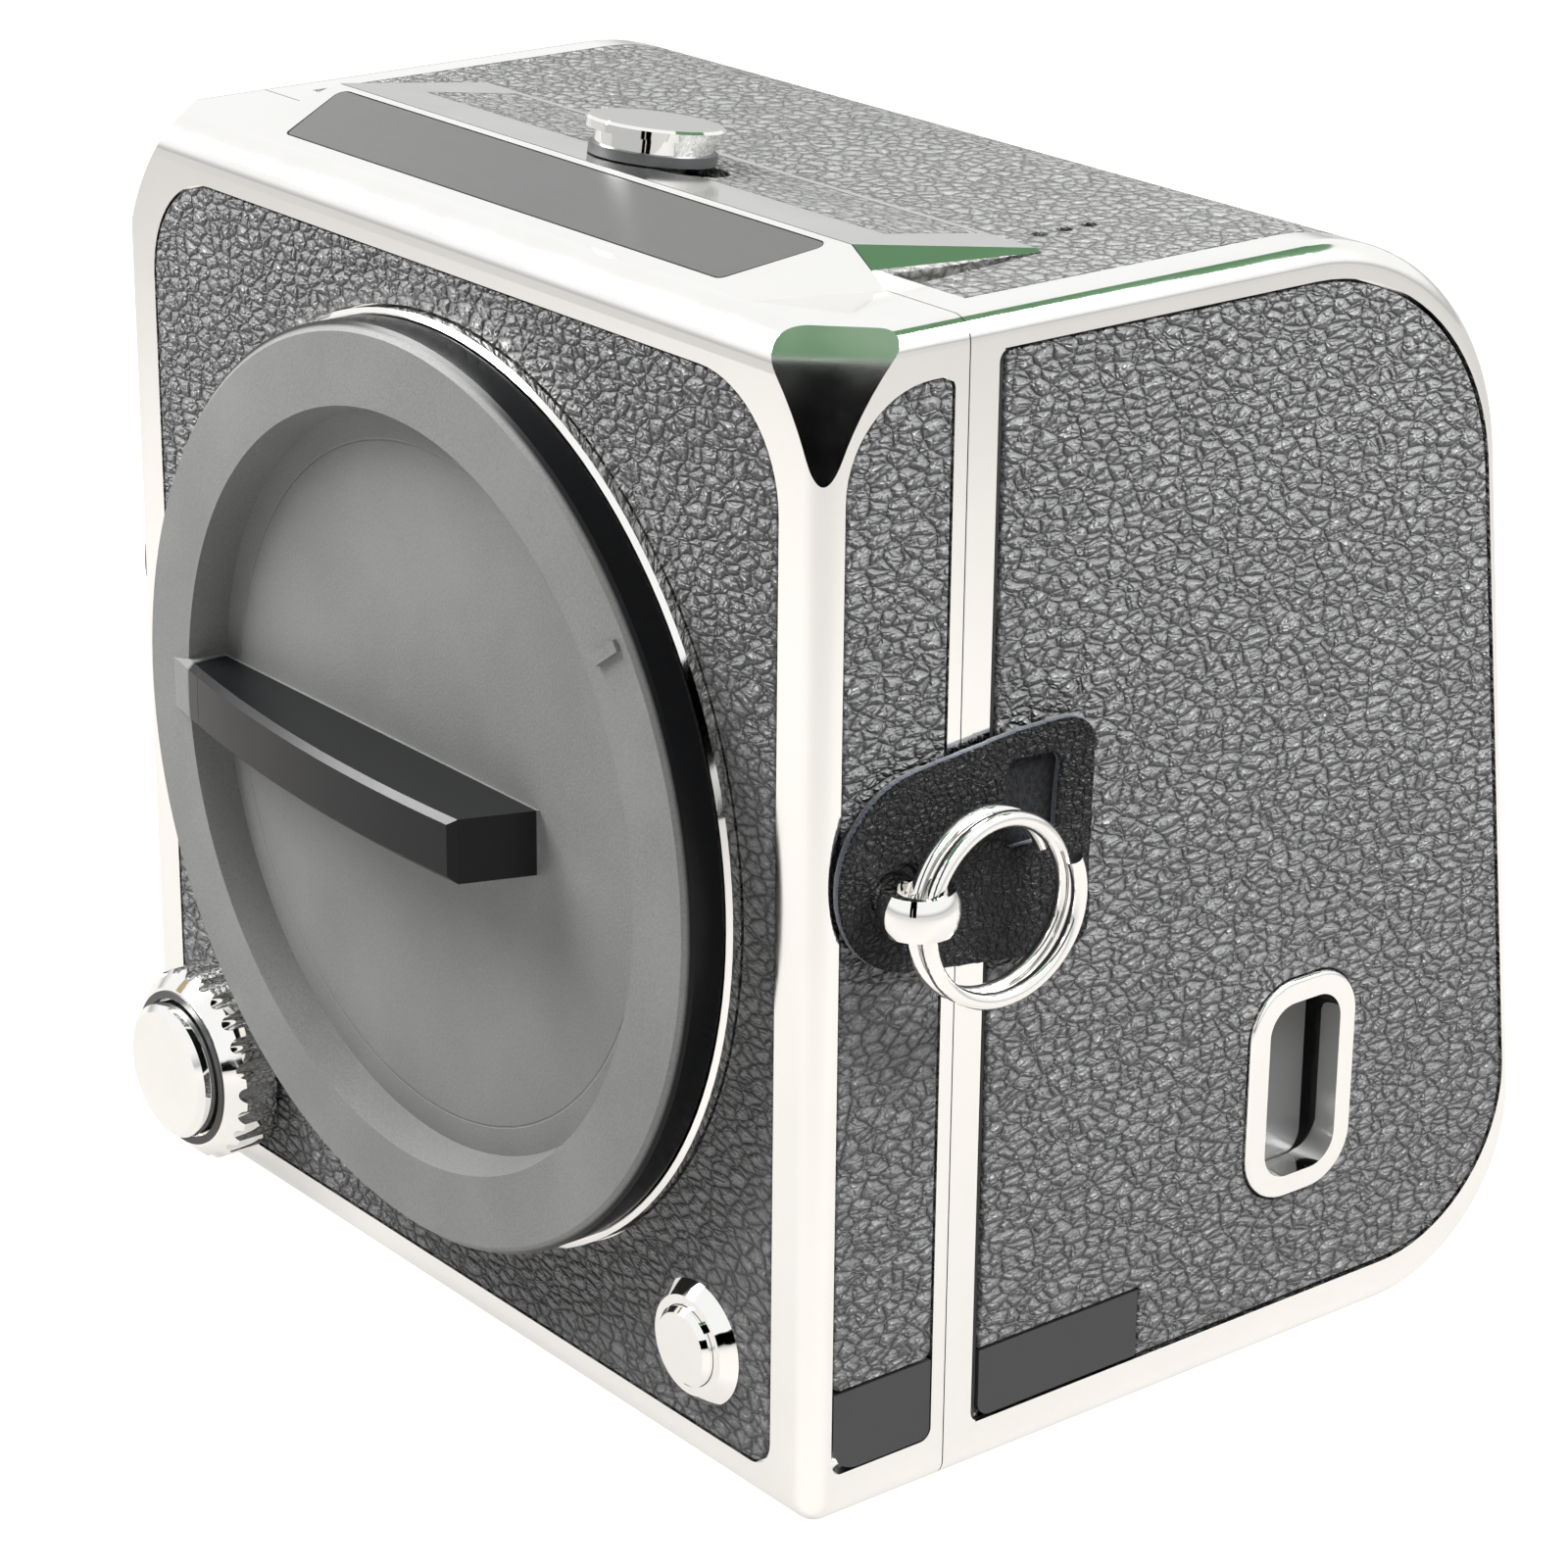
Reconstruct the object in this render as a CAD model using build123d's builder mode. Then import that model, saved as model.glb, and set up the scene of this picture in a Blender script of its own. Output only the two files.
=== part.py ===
from build123d import *
from math import asin, atan, cos, degrees, hypot, radians, sin
import os

# Medium format digital camera: a shallow front module with the lens mount, and a deep digital back behind it.
# Millimetres. X runs across the camera, the front faces -Y, Z is up, the base stands at Z = 0, and the origin
# is the mouth of the tripod socket. Depths are measured backwards from the camera's front face.

# Body
body_width = 91.0
body_height = 90.3
front_depth = 12.9
wall = 3.0
seam_gap = 0.1
ridge_height = 92.8
rim_round = 1.8
inlay_gap = 0.15
leather_thickness = 0.8
leather_edge_round = 0.25
running_gap = 0.05
seat_gap = 0.05
free_gap = 0.3
overrun = 1.0

# Front module shell, with the ramp that carries the nameplate
shoulder_round = 3.0
base_round = 2.0
corner_drop = 16.0
corner_inset = 5.7
ramp_start = 3.6
facet_nose_half = 33.0
facet_foot_half = 36.5
ridge_half = 32.6
nameplate_front = 1.2
nameplate_rear_margin = 0.6
nameplate_front_half = 28.0
nameplate_rear_half = 31.2
nameplate_thickness = 0.6
nameplate_round = 0.8

# Front leather sheet
front_leather_side = 4.6
front_leather_bottom = 3.1
front_leather_top = 4.1
front_leather_top_round = 9.0
front_leather_base_round = 2.4

# Side leather of the front module, and the bare plate below it
side_front = 2.1
side_rear_margin = 1.2
side_bottom = 4.0
side_top_margin = 3.8
side_top_round = 7.5
side_corner_round = 1.0
plate_height = 6.7
plate_round = 2.4

# Lens mount
lens_axis = 45.4
ring_radius = 37.2
ring_proud = 1.2
ring_seat = 1.6
ring_bore = 31.4
ring_chamfer = 0.35
lug_bore = 29.9
lug_thickness = 1.4
lug_count = 3
lug_angle = 52.0
lug_first_angle = 90.0
mount_screw_circle = 34.3
mount_screw_count = 4
screw_shank = 0.7
screw_head = 1.3
screw_head_height = 0.7
screw_sink = 0.15
screw_slot = 1.1
screw_slot_depth = 0.35

# Light chamber behind the mount
throat_radius = 32.2
throat_wall = 0.9
throat_flange = 35.5
throat_flange_thickness = 0.9
throat_window_width = 48.0
throat_window_height = 38.0
throat_end = 12.5
throat_end_wall = 2.0
frame_plate_thickness = 1.5

# Contacts in the mount
contact_count = 9
contact_pitch_angle = 4.2
contact_radius = 0.5
contact_proud = 0.1
contact_angle = -90.0
contact_span = 44.0
contact_inner = 27.4
contact_ring = 29.2
contact_block_depth = 3.2

# Contacts between the front module and the back
pad_width = 22.0
pad_height = 4.4
pad_z = 8.6
pad_count = 10
pad_pitch = 2.0
pad_pin_radius = 0.55

# Lens lock and its release button
release_x = 32.1
release_z = 10.3
release_radius = 3.2
release_proud = 1.7
release_stem = 1.3
bezel_radius = 5.0
bezel_lip = 4.0
bezel_proud = 1.0
bezel_tube = 4.2
bezel_tube_length = 4.2
bezel_floor = 1.0
lock_pin_radius = 1.0
lock_pin_proud = 0.9
lock_arm_y = 5.0
lock_arm_thickness = 1.2
lock_arm_half = 1.45
button_round = 0.4

# Control dial with the shutter button in its middle
dial_x = -33.5
dial_z = 10.3
dial_radius = 8.3
dial_edge = 0.5
dial_flute_count = 24
dial_flute_radius = 0.75
dial_flute_rise = 0.25
dial_band = 3.3
dial_bevel = 1.4
dial_front_radius = 7.0
dial_cup_radius = 6.1
dial_cup_depth = 2.0
dial_insert_width = 0.65
dial_insert_depth = 0.5
dial_insert_proud = 0.1
sleeve_radius = 3.2
sleeve_wall = 0.7
sleeve_flange = 4.6
sleeve_flange_thickness = 1.2
sleeve_lip = 0.8
sleeve_lip_thickness = 0.6
shutter_radius = 5.85
shutter_proud = 1.6
shutter_travel = 1.2
shutter_stem = 1.2
shutter_dish_depth = 0.5
shutter_dish_share = 0.9
shutter_hub_length = 3.0
encoder_radius = 7.0
encoder_thickness = 1.8
switch_size = 7.0
switch_height = 2.0
switch_round = 0.8

# Body cap
cap_radius = 36.7
cap_gap = 0.2
cap_depth = 3.2
cap_edge_round = 0.7
cap_recess_radius = 30.3
cap_recess_draft = 0.8
cap_recess_depth = 3.1
cap_floor = 1.5
cap_plug_radius = 29.4
cap_plug_wall = 1.6
cap_plug_length = 2.4
cap_lug_angle = 44.0
cap_lug_clearance = 0.5
cap_lug_thickness = 1.2
grip_half = 2.6
grip_end = 14.6
grip_end_slope = 2.4
grip_crown_x = -0.7
grip_proud = 6.8
grip_end_drop = 0.3
grip_root = 2.2
grip_bevel = 0.5
index_angle = 35.3
index_length = 3.2
index_width = 0.9
index_proud = 0.35

# Strap lugs, rings and tabs
lug_y = 6.7
lug_z = 49.3
lug_stem = 1.6
lug_ball = 3.1
lug_ball_offset = 3.1
lug_stem_end = 1.6
lug_half_height = 1.6
lug_nut = 1.0
eye_radius = 1.9
eye_offset = 3.5
strap_ring_radius = 6.7
strap_ring_half_turns = 4
samples_per_half_turn = 60
strap_ring_start = 25.0
strap_wire = 0.62
strap_pitch = 1.66
strap_ring_drop = 12.0
strap_ring_left_swing = 38.0
tab_thickness = 0.8
tab_gap = 0.3
tab_hole = 2.6
tab_nose_y = 8.7
tab_nose_z = 51.0
tab_nose_radius = 7.6
tab_head_y = 21.5
tab_head_z = 57.2
tab_head_radius = 2.8
tab_foot_y = 22.8
tab_foot_z = 43.4
tab_foot_radius = 2.2
tab_slot_y = 18.9
tab_slot_z = 54.0
tab_slot_width = 4.8
tab_slot_height = 6.6
tab_slot_round = 1.0

# Tripod bush
tripod_y = 7.1
tripod_minor_radius = 2.65
tripod_depth = 5.0
tripod_bush_radius = 3.8
tripod_bush_height = 6.2
tripod_flange = 7.0

# Digital back shell
back_base_depth = 76.4
back_slope = 0.126
back_top_round = 21.5
back_base_round = 14.5
back_rear_wall = 7.5
cavity_top_round = 16.0
cavity_base_round = 8.0
panel_front = 2.65
panel_rear = 1.55
panel_top = 2.65
panel_bottom = 3.9
panel_front_round = 1.0
panel_top_round = 20.0
panel_base_round = 13.0
top_leather_side = 4.2
top_leather_front = 3.0
top_leather_end = 70.0
trim_length = 15.7
trim_end_half = 34.8
trim_end_height = 0.25
strip_front = 6.0
strip_rear = 0.7
strip_side = 3.6
speaker_x = 30.8
speaker_y = 32.2
speaker_pitch = 2.45
speaker_count = 3
speaker_radius = 0.65
speaker_depth = 1.2

# Back catch on the top: a knob that slides in a short slot, with the latch bar under it
catch_y = 20.0
catch_disc_radius = 5.0
catch_disc_thickness = 0.8
catch_neck_radius = 4.6
catch_neck_height = 1.2
catch_rim_radius = 5.4
catch_rim_thickness = 0.85
catch_rise = 0.1
catch_stem = 2.8
catch_slot_gap = 0.3
catch_travel = 4.5
latch_drop = 2.4
latch_nose = 3.0
latch_nose_length = 1.4
latch_half = 5.0
latch_thickness = 1.8
latch_reach = 9.6
hook_x = 22.0
hook_width = 6.0
hook_z = 5.2
hook_height = 2.4
hook_reach = 3.6
hook_nose = 1.6
hook_nose_length = 1.4

# Battery and card door on the +X side
door_thickness = 1.6
door_gap = 0.2
door_ledge = 4.3
door_hinge_radius = 1.2
door_channel_gap = 0.3
door_leather_front = 0.6
hinge_pin = 0.3
door_pin_grip = 5.0
door_pin_hold = 1.6
finger_y = 49.0
finger_z = 22.7
finger_width = 11.4
finger_height = 18.6
finger_round = 4.4
finger_rim = 1.9
finger_proud = 0.4
finger_tube = 0.8
catch_box_wall = 0.9
catch_box_depth = 2.8
slider_width = 7.2
slider_thickness = 1.7
back_plate_length = 17.0
back_plate_height = 6.1

# Battery, cards and their bay
bay_front = 27.6
bay_rear = 51.5
bay_inner = -26.0
bay_outer = 40.0
bay_top = 68.0
bay_wall = 1.6
bay_shelf = 1.6
battery_length = 61.0
battery_height = 40.0
battery_depth = 20.2
battery_round = 2.0
card_width = 24.0
card_length = 32.0
card_thickness = 2.1
card_count = 2
card_pitch = 8.0
card_round = 0.8

# Sensor stack and the boards behind it
plate_thickness = 2.0
window_width = 52.0
window_height = 42.0
glass_width = 56.0
glass_height = 46.0
glass_thickness = 1.0
sensor_width = 54.0
sensor_height = 44.0
sensor_thickness = 2.0
sensor_gap = 0.4
holder_width = 72.0
holder_height = 62.0
holder_back = 1.6
holder_opening_width = 40.0
holder_opening_height = 30.0
spreader_width = 66.0
spreader_height = 56.0
spreader_thickness = 1.2
spreader_post_radius = 1.6
spreader_post_inset = 4.0
board_width = 78.0
board_height = 74.0
board_thickness = 1.6
board_gap = 1.3
chip_height = 0.9
chip_size = 12.0
chip_pitch = 17.0
chip_columns = 3
chip_rows = 2

# Screen on the rear face
screen_width = 74.0
screen_height = 50.0
screen_thickness = 4.6
screen_pocket_depth = 4.9
screen_centre_z = 40.5
screen_gap = 0.3
screen_proud = 0.6
screen_hinge_inset = 1.6
screen_corner = 1.2
screen_pocket_corner = 0.5
screen_pin_grip = 4.0
screen_pin_hold = 2.0
screen_glass_width = 66.0
screen_glass_height = 37.0
screen_glass_thickness = 1.2
screen_glass_rise = 3.4
key_count = 5
key_width = 9.0
key_height = 3.4
key_pitch = 13.6
key_drop = 20.0
key_proud = 0.7
key_travel = 0.5
key_depth = 1.8
key_round = 0.8

# Ports on the -X side
port_y = 30.0
port_z = 34.0
port_width = 12.0
port_height = 36.0
port_ledge = 1.5
port_cover_thickness = 1.4
port_hinge_radius = 1.15
port_hinge_gap = 0.25
port_pin_grip = 3.0
port_pin_hold = 1.5
port_block_depth = 5.0
port_count = 4
port_pitch = 8.2
port_socket_width = 3.2
port_socket_height = 5.6
port_socket_depth = 4.0
port_tongue = 0.8

half_width = body_width / 2
inner_half = half_width - wall
inner_top = body_height - wall
back_start = front_depth + seam_gap
front_y = -tripod_y
half_turn = 180.0
quarter_turn = 90.0

os.makedirs("parts", exist_ok=True)


def save(builder, name):
    """Labels a finished piece and writes it to its own file."""
    builder.part.label = name
    export_step(builder.part, f"parts/{name}.step")


def at_depth(depth):
    """A sketch plane seen from the front, at a depth behind the front face; extruding goes forwards."""
    return Plane.XZ.offset(-front_y - depth)


def at_side(side, inner, thickness):
    """A sketch plane of depth and height, for a slab that starts inner away from the middle."""
    start = inner if side > 0 else -inner - thickness
    return Plane((start, front_y, 0), x_dir=(0, 1, 0), z_dir=(1, 0, 0))


def at_height(z):
    """A level sketch plane of width and depth; extruding goes up."""
    return Plane((0, front_y, z), x_dir=(1, 0, 0), z_dir=(0, 0, 1))


def turned(x, z):
    """A plane through an axis along Y at x, z: its own X is the radius and its own Y is the depth."""
    return Plane((x, front_y, z), x_dir=(1, 0, 0), z_dir=(0, 0, 1))


def axis_y(x, z):
    """The axis along Y at x, z."""
    return Axis((x, front_y, z), (0, 1, 0))


def spot(x, depth, z):
    """A point in space, its depth measured from the front face."""
    return Vector(x, front_y + depth, z)


def round_the_lens(radius, angle):
    """A point of a front view, at a radius and an angle from the lens axis."""
    return (radius * cos(radians(angle)), lens_axis + radius * sin(radians(angle)))


def outline(points, radii):
    """Fills a closed outline in the current sketch, each corner with its own radius."""
    with BuildLine() as edge:
        FilletPolyline(*points, radius=radii, close=True)
    make_face(edge.edges())


def box_outline(x0, x1, y0, y1, mode=Mode.ADD):
    """Fills a rectangle in the current sketch, or cuts it out."""
    with Locations(((x0 + x1) / 2, (y0 + y1) / 2)):
        Rectangle(x1 - x0, y1 - y0, mode=mode)


def band(inner, outer, middle_angle, span):
    """Fills a piece of a flat ring round the lens axis in the current sketch."""
    first = middle_angle - span / 2
    last = middle_angle + span / 2
    with BuildLine() as edge:
        Line(round_the_lens(inner, first), round_the_lens(outer, first))
        ThreePointArc(round_the_lens(outer, first), round_the_lens(outer, middle_angle),
                      round_the_lens(outer, last))
        Line(round_the_lens(outer, last), round_the_lens(inner, last))
        ThreePointArc(round_the_lens(inner, last), round_the_lens(inner, middle_angle),
                      round_the_lens(inner, first))
    make_face(edge.edges())


def lathe(x, z, points):
    """Turns a closed outline of radius and depth round the axis along Y at x, z."""
    with BuildSketch(turned(x, z)) as section:
        with BuildLine() as edge:
            Polyline(*points, close=True)
        make_face(edge.edges())
    revolve(section.sketch, axis=axis_y(x, z))


def sleeve(x, z, inner, outer, front, rear):
    """Adds a plain tube along Y to the current piece."""
    lathe(x, z, [(inner, front), (outer, front), (outer, rear), (inner, rear)])


# The back's outline from the side: straight base and top, a rear face that leans forwards, big rear corners.
def rear_line(z, inset):
    """The depth of the leaning rear face at height z, inset from the shell's outside."""
    return back_base_depth - back_slope * z - inset


def back_outline(front, bottom, top, rear_inset, radii):
    """Fills a side outline of the back; the radii run front base, rear base, rear top, front top."""
    outline([(front, bottom), (rear_line(bottom, rear_inset), bottom), (rear_line(top, rear_inset), top),
             (front, top)], radii)


def panel_outline(inset):
    """Fills the outline of the back's side panel, drawn in by an inset."""
    round_inset = min(inset, panel_front_round)
    back_outline(panel_start + inset, panel_bottom + inset, panel_high - inset, panel_rear + inset,
                 [panel_front_round - round_inset, panel_base_round - inset, panel_top_round - inset,
                  panel_front_round - round_inset])


def front_sheet_outline(inset):
    """Fills the outline of the front leather, drawn in by an inset."""
    half = half_width - front_leather_side - inset
    low = front_leather_bottom + inset
    high = body_height - front_leather_top - inset
    outline([(-half, low), (half, low), (half, high), (-half, high)],
            [front_leather_base_round - inset, front_leather_base_round - inset,
             front_leather_top_round - inset, front_leather_top_round - inset])


def side_sheet_outline(inset, low):
    """Fills the outline of the front module's side sheet, drawn in by an inset, from a lower edge upwards."""
    front = side_front + inset
    rear = front_depth - side_rear_margin - inset
    high = body_height - side_top_margin - inset
    outline([(front, low), (rear, low), (rear, high), (front, high)],
            [side_corner_round - inset, side_corner_round - inset, side_corner_round - inset,
             side_top_round - inset])


def nameplate_outline(inset):
    """Fills the nameplate's outline on the ramp, drawn in by an inset."""
    front = nameplate_front + inset
    rear = ramp_length - nameplate_rear_margin - inset
    radius = nameplate_round - inset
    outline([(-nameplate_front_half + inset, front), (nameplate_front_half - inset, front),
             (nameplate_rear_half - inset, rear), (inset - nameplate_rear_half, rear)],
             [radius, radius, radius, radius])


def finger_outline(inset):
    """Fills the outline of the door's ringed recess, drawn in by an inset."""
    with Locations((finger_y, finger_z)):
        RectangleRounded(finger_width - 2 * inset, finger_height - 2 * inset, finger_round - inset)


def port_window(inset):
    """Fills the outline of the port cover, drawn in by an inset."""
    box_outline(port_y + inset, port_y + port_width - inset, port_z - port_height / 2 + inset,
                port_z + port_height / 2 - inset)


def strip_outline(inset):
    """Fills the outline of the leather strip on the top trim, drawn in by an inset."""
    half = ridge_half - strip_side - inset
    box_outline(-half, half, strip_front + inset, trim_length - strip_rear - inset)


def catch_slot(gap):
    """Fills the slot that the catch's stem slides in, wider by a gap."""
    reach = catch_stem + catch_slot_gap + gap
    with Locations((catch_travel / 2, catch_down)):
        SlotOverall(catch_travel + 2 * reach, 2 * reach)


def top_sheet_outline():
    """Fills the side outline of the sheet over the top and down the rear corner, as thick as the leather."""
    back_outline(back_start + top_leather_front, top_leather_end, body_height, 0, [0, 0, back_top_round, 0])
    with BuildSketch(mode=Mode.PRIVATE) as inside:
        back_outline(back_start, top_leather_end - overrun, body_height - leather_thickness,
                     leather_thickness,
                     [0, 0, back_top_round - leather_thickness, 0])
    add(inside.sketch, mode=Mode.SUBTRACT)


def bevelled_end(side, rear_half, rear_y):
    """The plane that slants an end of the top trim: through its crest, its foot and its far corner."""
    foot = spot(side * facet_foot_half, front_depth, body_height)
    crest = spot(side * ridge_half, front_depth, ridge_height)
    corner = spot(side * rear_half, rear_y, body_height)
    slant = (crest - foot).cross(corner - foot)
    return Plane(origin=foot, z_dir=slant if slant.X * side > 0 else -slant)


# Places that several pieces share
corner_radius = (corner_drop ** 2 + corner_inset ** 2) / (2 * corner_inset)
corner_arc = degrees(asin((corner_drop + overrun) / corner_radius))
ramp_length = hypot(front_depth - ramp_start, ridge_height - body_height)
ramp_angle = atan((ridge_height - body_height) / (front_depth - ramp_start))
ramp_plane = Plane(spot(0, ramp_start, body_height), x_dir=(1, 0, 0),
                   z_dir=(0, -sin(ramp_angle), cos(ramp_angle)))
trim_end_y = back_start + trim_length
trim_drop = ridge_height - body_height - trim_end_height
trim_angle = atan(trim_drop / trim_length)
trim_plane = Plane(spot(0, back_start, ridge_height), x_dir=(1, 0, 0),
                   z_dir=(0, sin(trim_angle), cos(trim_angle)))
catch_down = (catch_y - back_start) / cos(trim_angle)
release_stem_end = lock_arm_y - free_gap
lock_angle = degrees(atan((release_z - lens_axis) / release_x))
lock_x, lock_z = round_the_lens(mount_screw_circle, lock_angle)
frame_rear = front_depth - seam_gap
frame_front = frame_rear - frame_plate_thickness
contact_front = cap_plug_length + free_gap
dial_back_y = -free_gap
dial_face_y = dial_back_y - dial_band - dial_bevel
cup_floor_y = dial_face_y + dial_cup_depth
sleeve_bore = sleeve_radius - sleeve_wall
shutter_back_y = cup_floor_y - shutter_travel - free_gap
shutter_front_y = dial_face_y - shutter_proud
shutter_hub_y = shutter_back_y + shutter_hub_length
shutter_stem_y = frame_front - switch_height - shutter_travel - free_gap
cap_back_y = -ring_proud - cap_gap
cap_front_y = cap_back_y - cap_depth
cap_floor_y = cap_front_y + cap_recess_depth
eye_x = half_width + eye_offset
panel_start = back_start + panel_front
panel_high = body_height - panel_top
door_back = half_width - leather_thickness - door_thickness
hinge_x = half_width - door_hinge_radius
hinge_y = panel_start + door_gap + door_hinge_radius
finger_floor = door_back - catch_box_depth + catch_box_wall
slider_inner = finger_floor + running_gap
tube_width = finger_width - 2 * finger_rim + 2 * finger_tube
tube_height = finger_height - 2 * finger_rim + 2 * finger_tube
slider_y = finger_y - tube_width / 2 + free_gap + slider_width / 2
latch_z = inner_top - latch_drop - latch_thickness
plate_front_y = back_start + seam_gap
plate_back_y = plate_front_y + plate_thickness
glass_back_y = plate_back_y + glass_thickness
sensor_front_y = glass_back_y + sensor_gap
sensor_back_y = sensor_front_y + sensor_thickness
holder_back_y = sensor_back_y + holder_back
spreader_back_y = holder_back_y + spreader_thickness
board_front_y = spreader_back_y + board_gap
board_back_y = board_front_y + board_thickness
lean = atan(back_slope)
rear_plane = Plane(spot(0, rear_line(screen_centre_z, 0), screen_centre_z), x_dir=(-1, 0, 0),
                   z_dir=(0, cos(lean), sin(lean)))
screen_hinge = Plane(rear_plane.origin + rear_plane.y_dir * (screen_height / 2 - screen_hinge_inset)
                     + rear_plane.z_dir * (screen_proud - screen_hinge_inset),
                     x_dir=rear_plane.y_dir, z_dir=rear_plane.x_dir)
speaker_places = [(speaker_x, speaker_y + place * speaker_pitch) for place in range(speaker_count)]
bay_bottom = wall + free_gap
battery_low = bay_bottom + bay_shelf + free_gap
card_low = battery_low + battery_height + bay_shelf + 2 * free_gap
port_hinge_x = half_width - port_hinge_radius
port_hinge_y = port_y + port_hinge_radius
port_back = half_width - port_cover_thickness
port_block_outer = half_width - 2 * port_hinge_radius - free_gap

# Front module
with BuildPart() as ramp:
    with BuildSketch(at_side(1, -facet_foot_half, 2 * facet_foot_half)):
        outline([(ramp_start, body_height), (front_depth, ridge_height),
                 (front_depth, body_height - rim_round),
                 (ramp_start, body_height - rim_round)], [0, 0, 0, 0])
    extrude(amount=2 * facet_foot_half)
    for side in (1, -1):
        split(bisect_by=bevelled_end(side, facet_nose_half, ramp_start), keep=Keep.BOTTOM)

with BuildPart() as front_housing:
    with BuildSketch(at_side(1, -half_width, body_width)):
        outline([(0, 0), (front_depth, 0), (front_depth, body_height), (0, body_height)],
                [base_round, 0, 0, shoulder_round])
    extrude(amount=body_width)
    for end in (0, -1):
        rims = front_housing.faces().sort_by(Axis.X)[end].edges()
        fillet([rim for rim in rims if rim.center().Y < front_y + frame_rear], rim_round)
    add(ramp.part)
    # Upper front corners, rounded on the slant and more towards the top
    for side in (1, -1):
        slant = Plane(spot(side * half_width, 0, body_height - corner_drop), x_dir=(-side, 1, 0),
                      z_dir=(1, side, 0))
        with BuildSketch(slant):
            with BuildLine():
                flare = CenterArc((corner_radius, 0), corner_radius, half_turn, -corner_arc)
                Polyline(flare @ 1, (-overrun, corner_drop + overrun), (-overrun, 0), flare @ 0)
            make_face()
        extrude(amount=2 * corner_inset, both=True, mode=Mode.SUBTRACT)
    # Hollow inside, open to the rear
    with BuildSketch(at_depth(front_depth + overrun)):
        with Locations((0, body_height / 2)):
            RectangleRounded(2 * inner_half, body_height - 2 * wall, wall / 2)
    extrude(amount=front_depth + overrun - wall, mode=Mode.SUBTRACT)
    # Pocket for the front leather, and the stepped seat of the lens mount
    with BuildSketch(at_depth(leather_thickness)):
        front_sheet_outline(0)
    extrude(amount=leather_thickness + overrun, mode=Mode.SUBTRACT)
    with BuildSketch(at_depth(ring_seat)):
        with Locations((0, lens_axis)):
            Circle(ring_radius + seat_gap)
    extrude(amount=ring_seat + overrun, mode=Mode.SUBTRACT)
    with BuildSketch(at_depth(wall + overrun)):
        with Locations((0, lens_axis)):
            Circle(throat_radius + seat_gap)
            with PolarLocations(mount_screw_circle, mount_screw_count):
                Circle(screw_shank + seat_gap)
        with Locations((dial_x, dial_z)):
            Circle(sleeve_radius + seat_gap)
        with Locations((release_x, release_z)):
            Circle(bezel_tube + seat_gap)
        with Locations((lock_x, lock_z)):
            Circle(lock_pin_radius + running_gap)
    extrude(amount=wall + 2 * overrun, mode=Mode.SUBTRACT)
    # Pockets for the side sheets, and the holes for the strap lugs
    for side in (1, -1):
        with BuildSketch(at_side(side, half_width - leather_thickness, leather_thickness + overrun)):
            side_sheet_outline(0, side_bottom)
        extrude(amount=leather_thickness + overrun, mode=Mode.SUBTRACT)
        with BuildSketch(at_side(side, inner_half - overrun, wall + 2 * overrun)):
            with Locations((lug_y, lug_z)):
                Circle(lug_stem + seat_gap)
        extrude(amount=wall + 2 * overrun, mode=Mode.SUBTRACT)
    # Pocket for the nameplate, square to the ramp, and the hole for the tripod bush
    with BuildSketch(ramp_plane):
        nameplate_outline(0)
    extrude(amount=-nameplate_thickness, mode=Mode.SUBTRACT)
    with BuildSketch(at_height(-overrun)):
        with Locations((0, tripod_y)):
            Circle(tripod_bush_radius + seat_gap)
    extrude(amount=wall + 2 * overrun, mode=Mode.SUBTRACT)
save(front_housing, "front_housing")

with BuildPart() as top_nameplate:
    with BuildSketch(ramp_plane):
        nameplate_outline(inlay_gap)
    extrude(amount=-nameplate_thickness)
save(top_nameplate, "top_nameplate")

with BuildPart() as front_leather:
    with BuildSketch(at_depth(leather_thickness)):
        front_sheet_outline(inlay_gap)
        with Locations((0, lens_axis)):
            Circle(ring_radius + inlay_gap, mode=Mode.SUBTRACT)
        with Locations((dial_x, dial_z)):
            Circle(sleeve_radius + free_gap, mode=Mode.SUBTRACT)
        with Locations((release_x, release_z)):
            Circle(bezel_tube + inlay_gap, mode=Mode.SUBTRACT)
    extrude(amount=leather_thickness)
    fillet(front_leather.faces().sort_by(Axis.Y)[0].outer_wire().edges(), leather_edge_round)
save(front_leather, "front_leather")

plate_top = side_bottom + plate_height
for side, word in ((1, "right"), (-1, "left")):
    with BuildPart() as side_leather:
        with BuildSketch(at_side(side, half_width - leather_thickness, leather_thickness)):
            side_sheet_outline(inlay_gap, plate_top + inlay_gap if side > 0 else side_bottom + inlay_gap)
            with Locations((lug_y, lug_z)):
                Circle(lug_stem + inlay_gap, mode=Mode.SUBTRACT)
        extrude(amount=leather_thickness)
        outer_face = side_leather.faces().sort_by(Axis.X)[-1 if side > 0 else 0]
        fillet(outer_face.outer_wire().edges(), leather_edge_round)
    save(side_leather, f"front_side_leather_{word}")

with BuildPart() as front_side_plate:
    plate_front = side_front + inlay_gap
    plate_rear = front_depth - side_rear_margin - inlay_gap
    with BuildSketch(at_side(1, half_width - leather_thickness, leather_thickness)):
        outline([(plate_front, side_bottom + inlay_gap), (plate_rear, side_bottom + inlay_gap),
                 (plate_rear, plate_top), (plate_front, plate_top)],
                [plate_round, side_corner_round - inlay_gap, 0, 0])
    extrude(amount=leather_thickness)
save(front_side_plate, "front_side_plate")

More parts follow.
